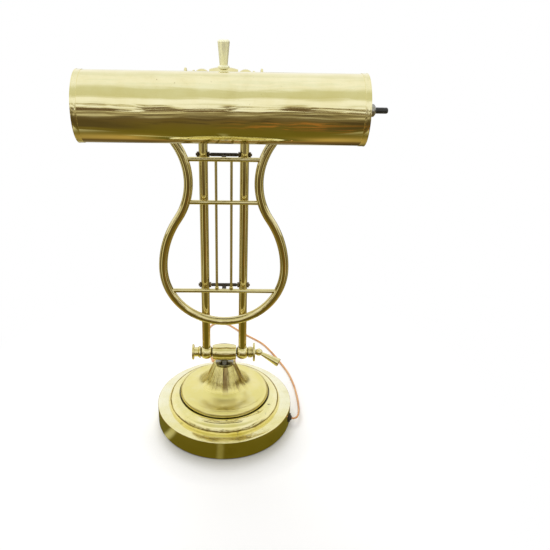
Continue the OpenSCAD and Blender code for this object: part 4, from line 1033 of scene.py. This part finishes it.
# floor: white to the camera with the lamp's shadow and a painted contact shadow in front of the foot, and to the
# brass a glowing painted reflection of a table in olive and brown
floorSet = {
    "size": 40, "drop": 0.0002, "plain": (0.86, 0.86, 0.86), "glow": 0.03, "whiteEdge": (0.20, 0.40),
    "paintedContactShadow": {"reach": 0.05, "front": (0.0, 0.085), "lit": (0.98, 0.98, 0.99), "dark": (0.02, 0.02, 0.02)},
    "ahead": [(0.0, (0.107, 0.091, 0.009)), (0.10, (0.149, 0.118, 0.014)), (0.30, (0.149, 0.109, 0.022)),
              (0.60, (0.14, 0.096, 0.036)), (0.85, (0.177, 0.137, 0.065)), (1.0, (0.28, 0.228, 0.122))],
    "aside": [(0.0, (0.112, 0.105, 0.014)), (0.065, (0.149, 0.127, 0.022)), (0.095, (0.484, 0.328, 0.094)),
              (0.20, (0.26, 0.21, 0.072)), (0.55, (0.186, 0.146, 0.05)), (1.0, (0.372, 0.328, 0.187))],
    "reach": 1.6, "frontEdge": (0.10, 0.80), "frontEase": 0.02,
    # painted reflections: streaks ahead of the lamp
    "streakAcross": 8.0, "acrossEase": 0.05, "streakAway": 3.6, "awayEase": 0.15, "streakNoise": (1.0, 4, 0.6),
    "pale": {"edge": (0.50, 0.62), "from": (0.9, 1.8), "amount": 0.9, "tone": (0.69, 0.63, 0.43)},
    "dark": {"edge": (-0.48, -0.38), "from": (0.40, 0.7), "amount": 0.75, "tone": (0.065, 0.045, 0.022)},
    "warm": {"edge": (0.50, 0.58), "from": (0.30, 0.42), "to": (0.7, 0.9), "right": (-0.1, 0.2), "amount": 0.8,
             "tone": (0.446, 0.18, 0.036)},
    # painted reflections: strips beside the lamp, which stand along the tubes
    "beside": (0.22, 0.45), "besideFrom": (0.25, 0.5), "bandRound": 2.8, "bandRow": 1.7,
    "bandNoise": (1.0, 3, 0.6),
    "light": {"edge": (0.53, 0.61), "amount": 0.75, "tone": (0.90, 0.85, 0.56)},
    "shade": {"edge": (-0.52, -0.44), "amount": 0.85, "tone": (0.084, 0.06, 0.022)},
    # painted reflections: two paler strips that stand in the drum's side, by their angle
    "strip": {"left": 1.02, "leftEdge": (0.02, 0.12), "middle": 0.05, "middleEdge": (0.01, 0.08), "share": 0.35,
              "to": (0.14, 0.20), "amount": 0.6, "tone": (0.74, 0.71, 0.40)},
}


def paintedReflectionTone(f, x, y, r, s):
    across = x / (r + s["acrossEase"])
    ahead = f.stops(r / s["reach"], s["ahead"])
    aside = f.stops(r / s["reach"], s["aside"])
    lines = f.node("CombineXYZ", X=across * s["streakAcross"], Y=s["streakAway"] / (r + s["awayEase"]))
    streak = f.noise(lines, *s["streakNoise"])
    for value, k in ((streak, s["pale"]), (0.0 - streak, s["dark"])):
        ahead = f.mix(f.ramp(value, *k["edge"]) * f.ramp(r, *k["from"]) * k["amount"], ahead, k["tone"])
    k = s["warm"]
    warm = f.ramp(streak, *k["edge"]) * f.ramp(across, *k["right"]) * f.ramp(r, *k["from"])
    ahead = f.mix(warm * (1.0 - f.ramp(r, *k["to"])) * k["amount"], ahead, k["tone"])
    tone = f.mix(f.ramp((0.0 - y) / (r + s["frontEase"]), *s["frontEdge"]), aside, ahead)
    angle = f.node("Math", {"operation": "ARCTAN2"}, i0=x, i1=0.0 - y)
    beside = f.ramp(angle.math("ABSOLUTE"), *s["beside"]) * f.ramp(r, *s["besideFrom"])
    band = f.noise(f.node("CombineXYZ", X=angle * s["bandRound"], Y=s["bandRow"]), *s["bandNoise"])
    for value, k in ((band, s["light"]), (0.0 - band, s["shade"])):
        tone = f.mix(f.ramp(value, *k["edge"]) * beside * k["amount"], tone, k["tone"])
    k = s["strip"]
    left = 1.0 - f.ramp((angle + k["left"]).math("ABSOLUTE"), *k["leftEdge"])
    middle = 1.0 - f.ramp((angle + k["middle"]).math("ABSOLUTE"), *k["middleEdge"])
    strip = (left + middle * k["share"]) * (1.0 - f.ramp(r, *k["to"]))
    return f.mix(strip * k["amount"], tone, k["tone"])


def makeFloor(s):
    deselectAll()
    bpy.ops.mesh.primitive_plane_add(size=s["size"], location=(0, 0, -s["drop"]))
    floor = bpy.context.object
    floor.name = "studioFloor"
    f = Finish("paleFloor")
    x, y = f.split(f.coords())[:2]
    camera, glossy = f.node("LightPath", out=("Is Camera Ray", "Is Glossy Ray"))
    r = (x * x + y * y) ** 0.5
    # painted contact shadow: ambient occlusion darkens the floor in front of the foot
    k = s["paintedContactShadow"]
    clear = f.node("AmbientOcclusion", {"samples": 8}, out="AO", Distance=k["reach"])
    shadowFront = f.ramp(0.0 - y, *k["front"])
    lit, dark = f.node("BsdfDiffuse", Color=k["lit"]), f.node("BsdfDiffuse", Color=k["dark"])
    shadowedFloor = f.node("MixShader", i0=(1.0 - clear) * shadowFront, i1=lit, i2=dark)
    glow = f.node("Emission", Color=(1, 1, 1), Strength=s["glow"])
    white = f.node("Emission", Color=(1, 1, 1), Strength=1.0)
    seen = f.node("MixShader", i0=f.ramp(r, *s["whiteEdge"]), i1=f.node("AddShader", i0=glow, i1=shadowedFloor), i2=white)
    plain = f.node("BsdfDiffuse", Color=s["plain"])
    # the floor glows these painted reflections to glossy rays only
    mirrored = f.node("Emission", Color=paintedReflectionTone(f, x, y, r, s), Strength=1.0)
    first = f.node("MixShader", i0=glossy, i1=plain, i2=mirrored)
    dress(floor, f.close(f.node("MixShader", i0=camera, i1=first, i2=seen)))


lampSet = [
    # name, place, aim, size, watts, colour
    ("keyPanel", (-0.75, -0.55, 1.25), (0, 0, 0.25), 0.90, 4.5, (1.0, 0.99, 0.96)),
    ("topPanel", (-0.10, 0.70, 1.25), (0, 0, 0.20), 0.70, 7.5, (1.0, 1.0, 0.98)),
]


def makeLamps(rows):
    for name, place, aim, size, watts, colour in rows:
        data = bpy.data.lights.new(name, "AREA")
        data.shape = "SQUARE"
        data.size = size
        data.energy = watts
        data.color = colour
        lamp = bpy.data.objects.new(name, data)
        lamp.location = place
        lamp.visible_glossy = False  # the brass shows the room alone
        lamp.rotation_euler = (Vector(aim) - Vector(place)).to_track_quat("-Z", "Y").to_euler()
        bpy.context.scene.collection.objects.link(lamp)


makeWorld(skySet)
makeFloor(floorSet)
makeLamps(lampSet)
bpy.context.scene.view_settings.view_transform = "Standard"
print("studio set")

bpy.context.view_layer.update()
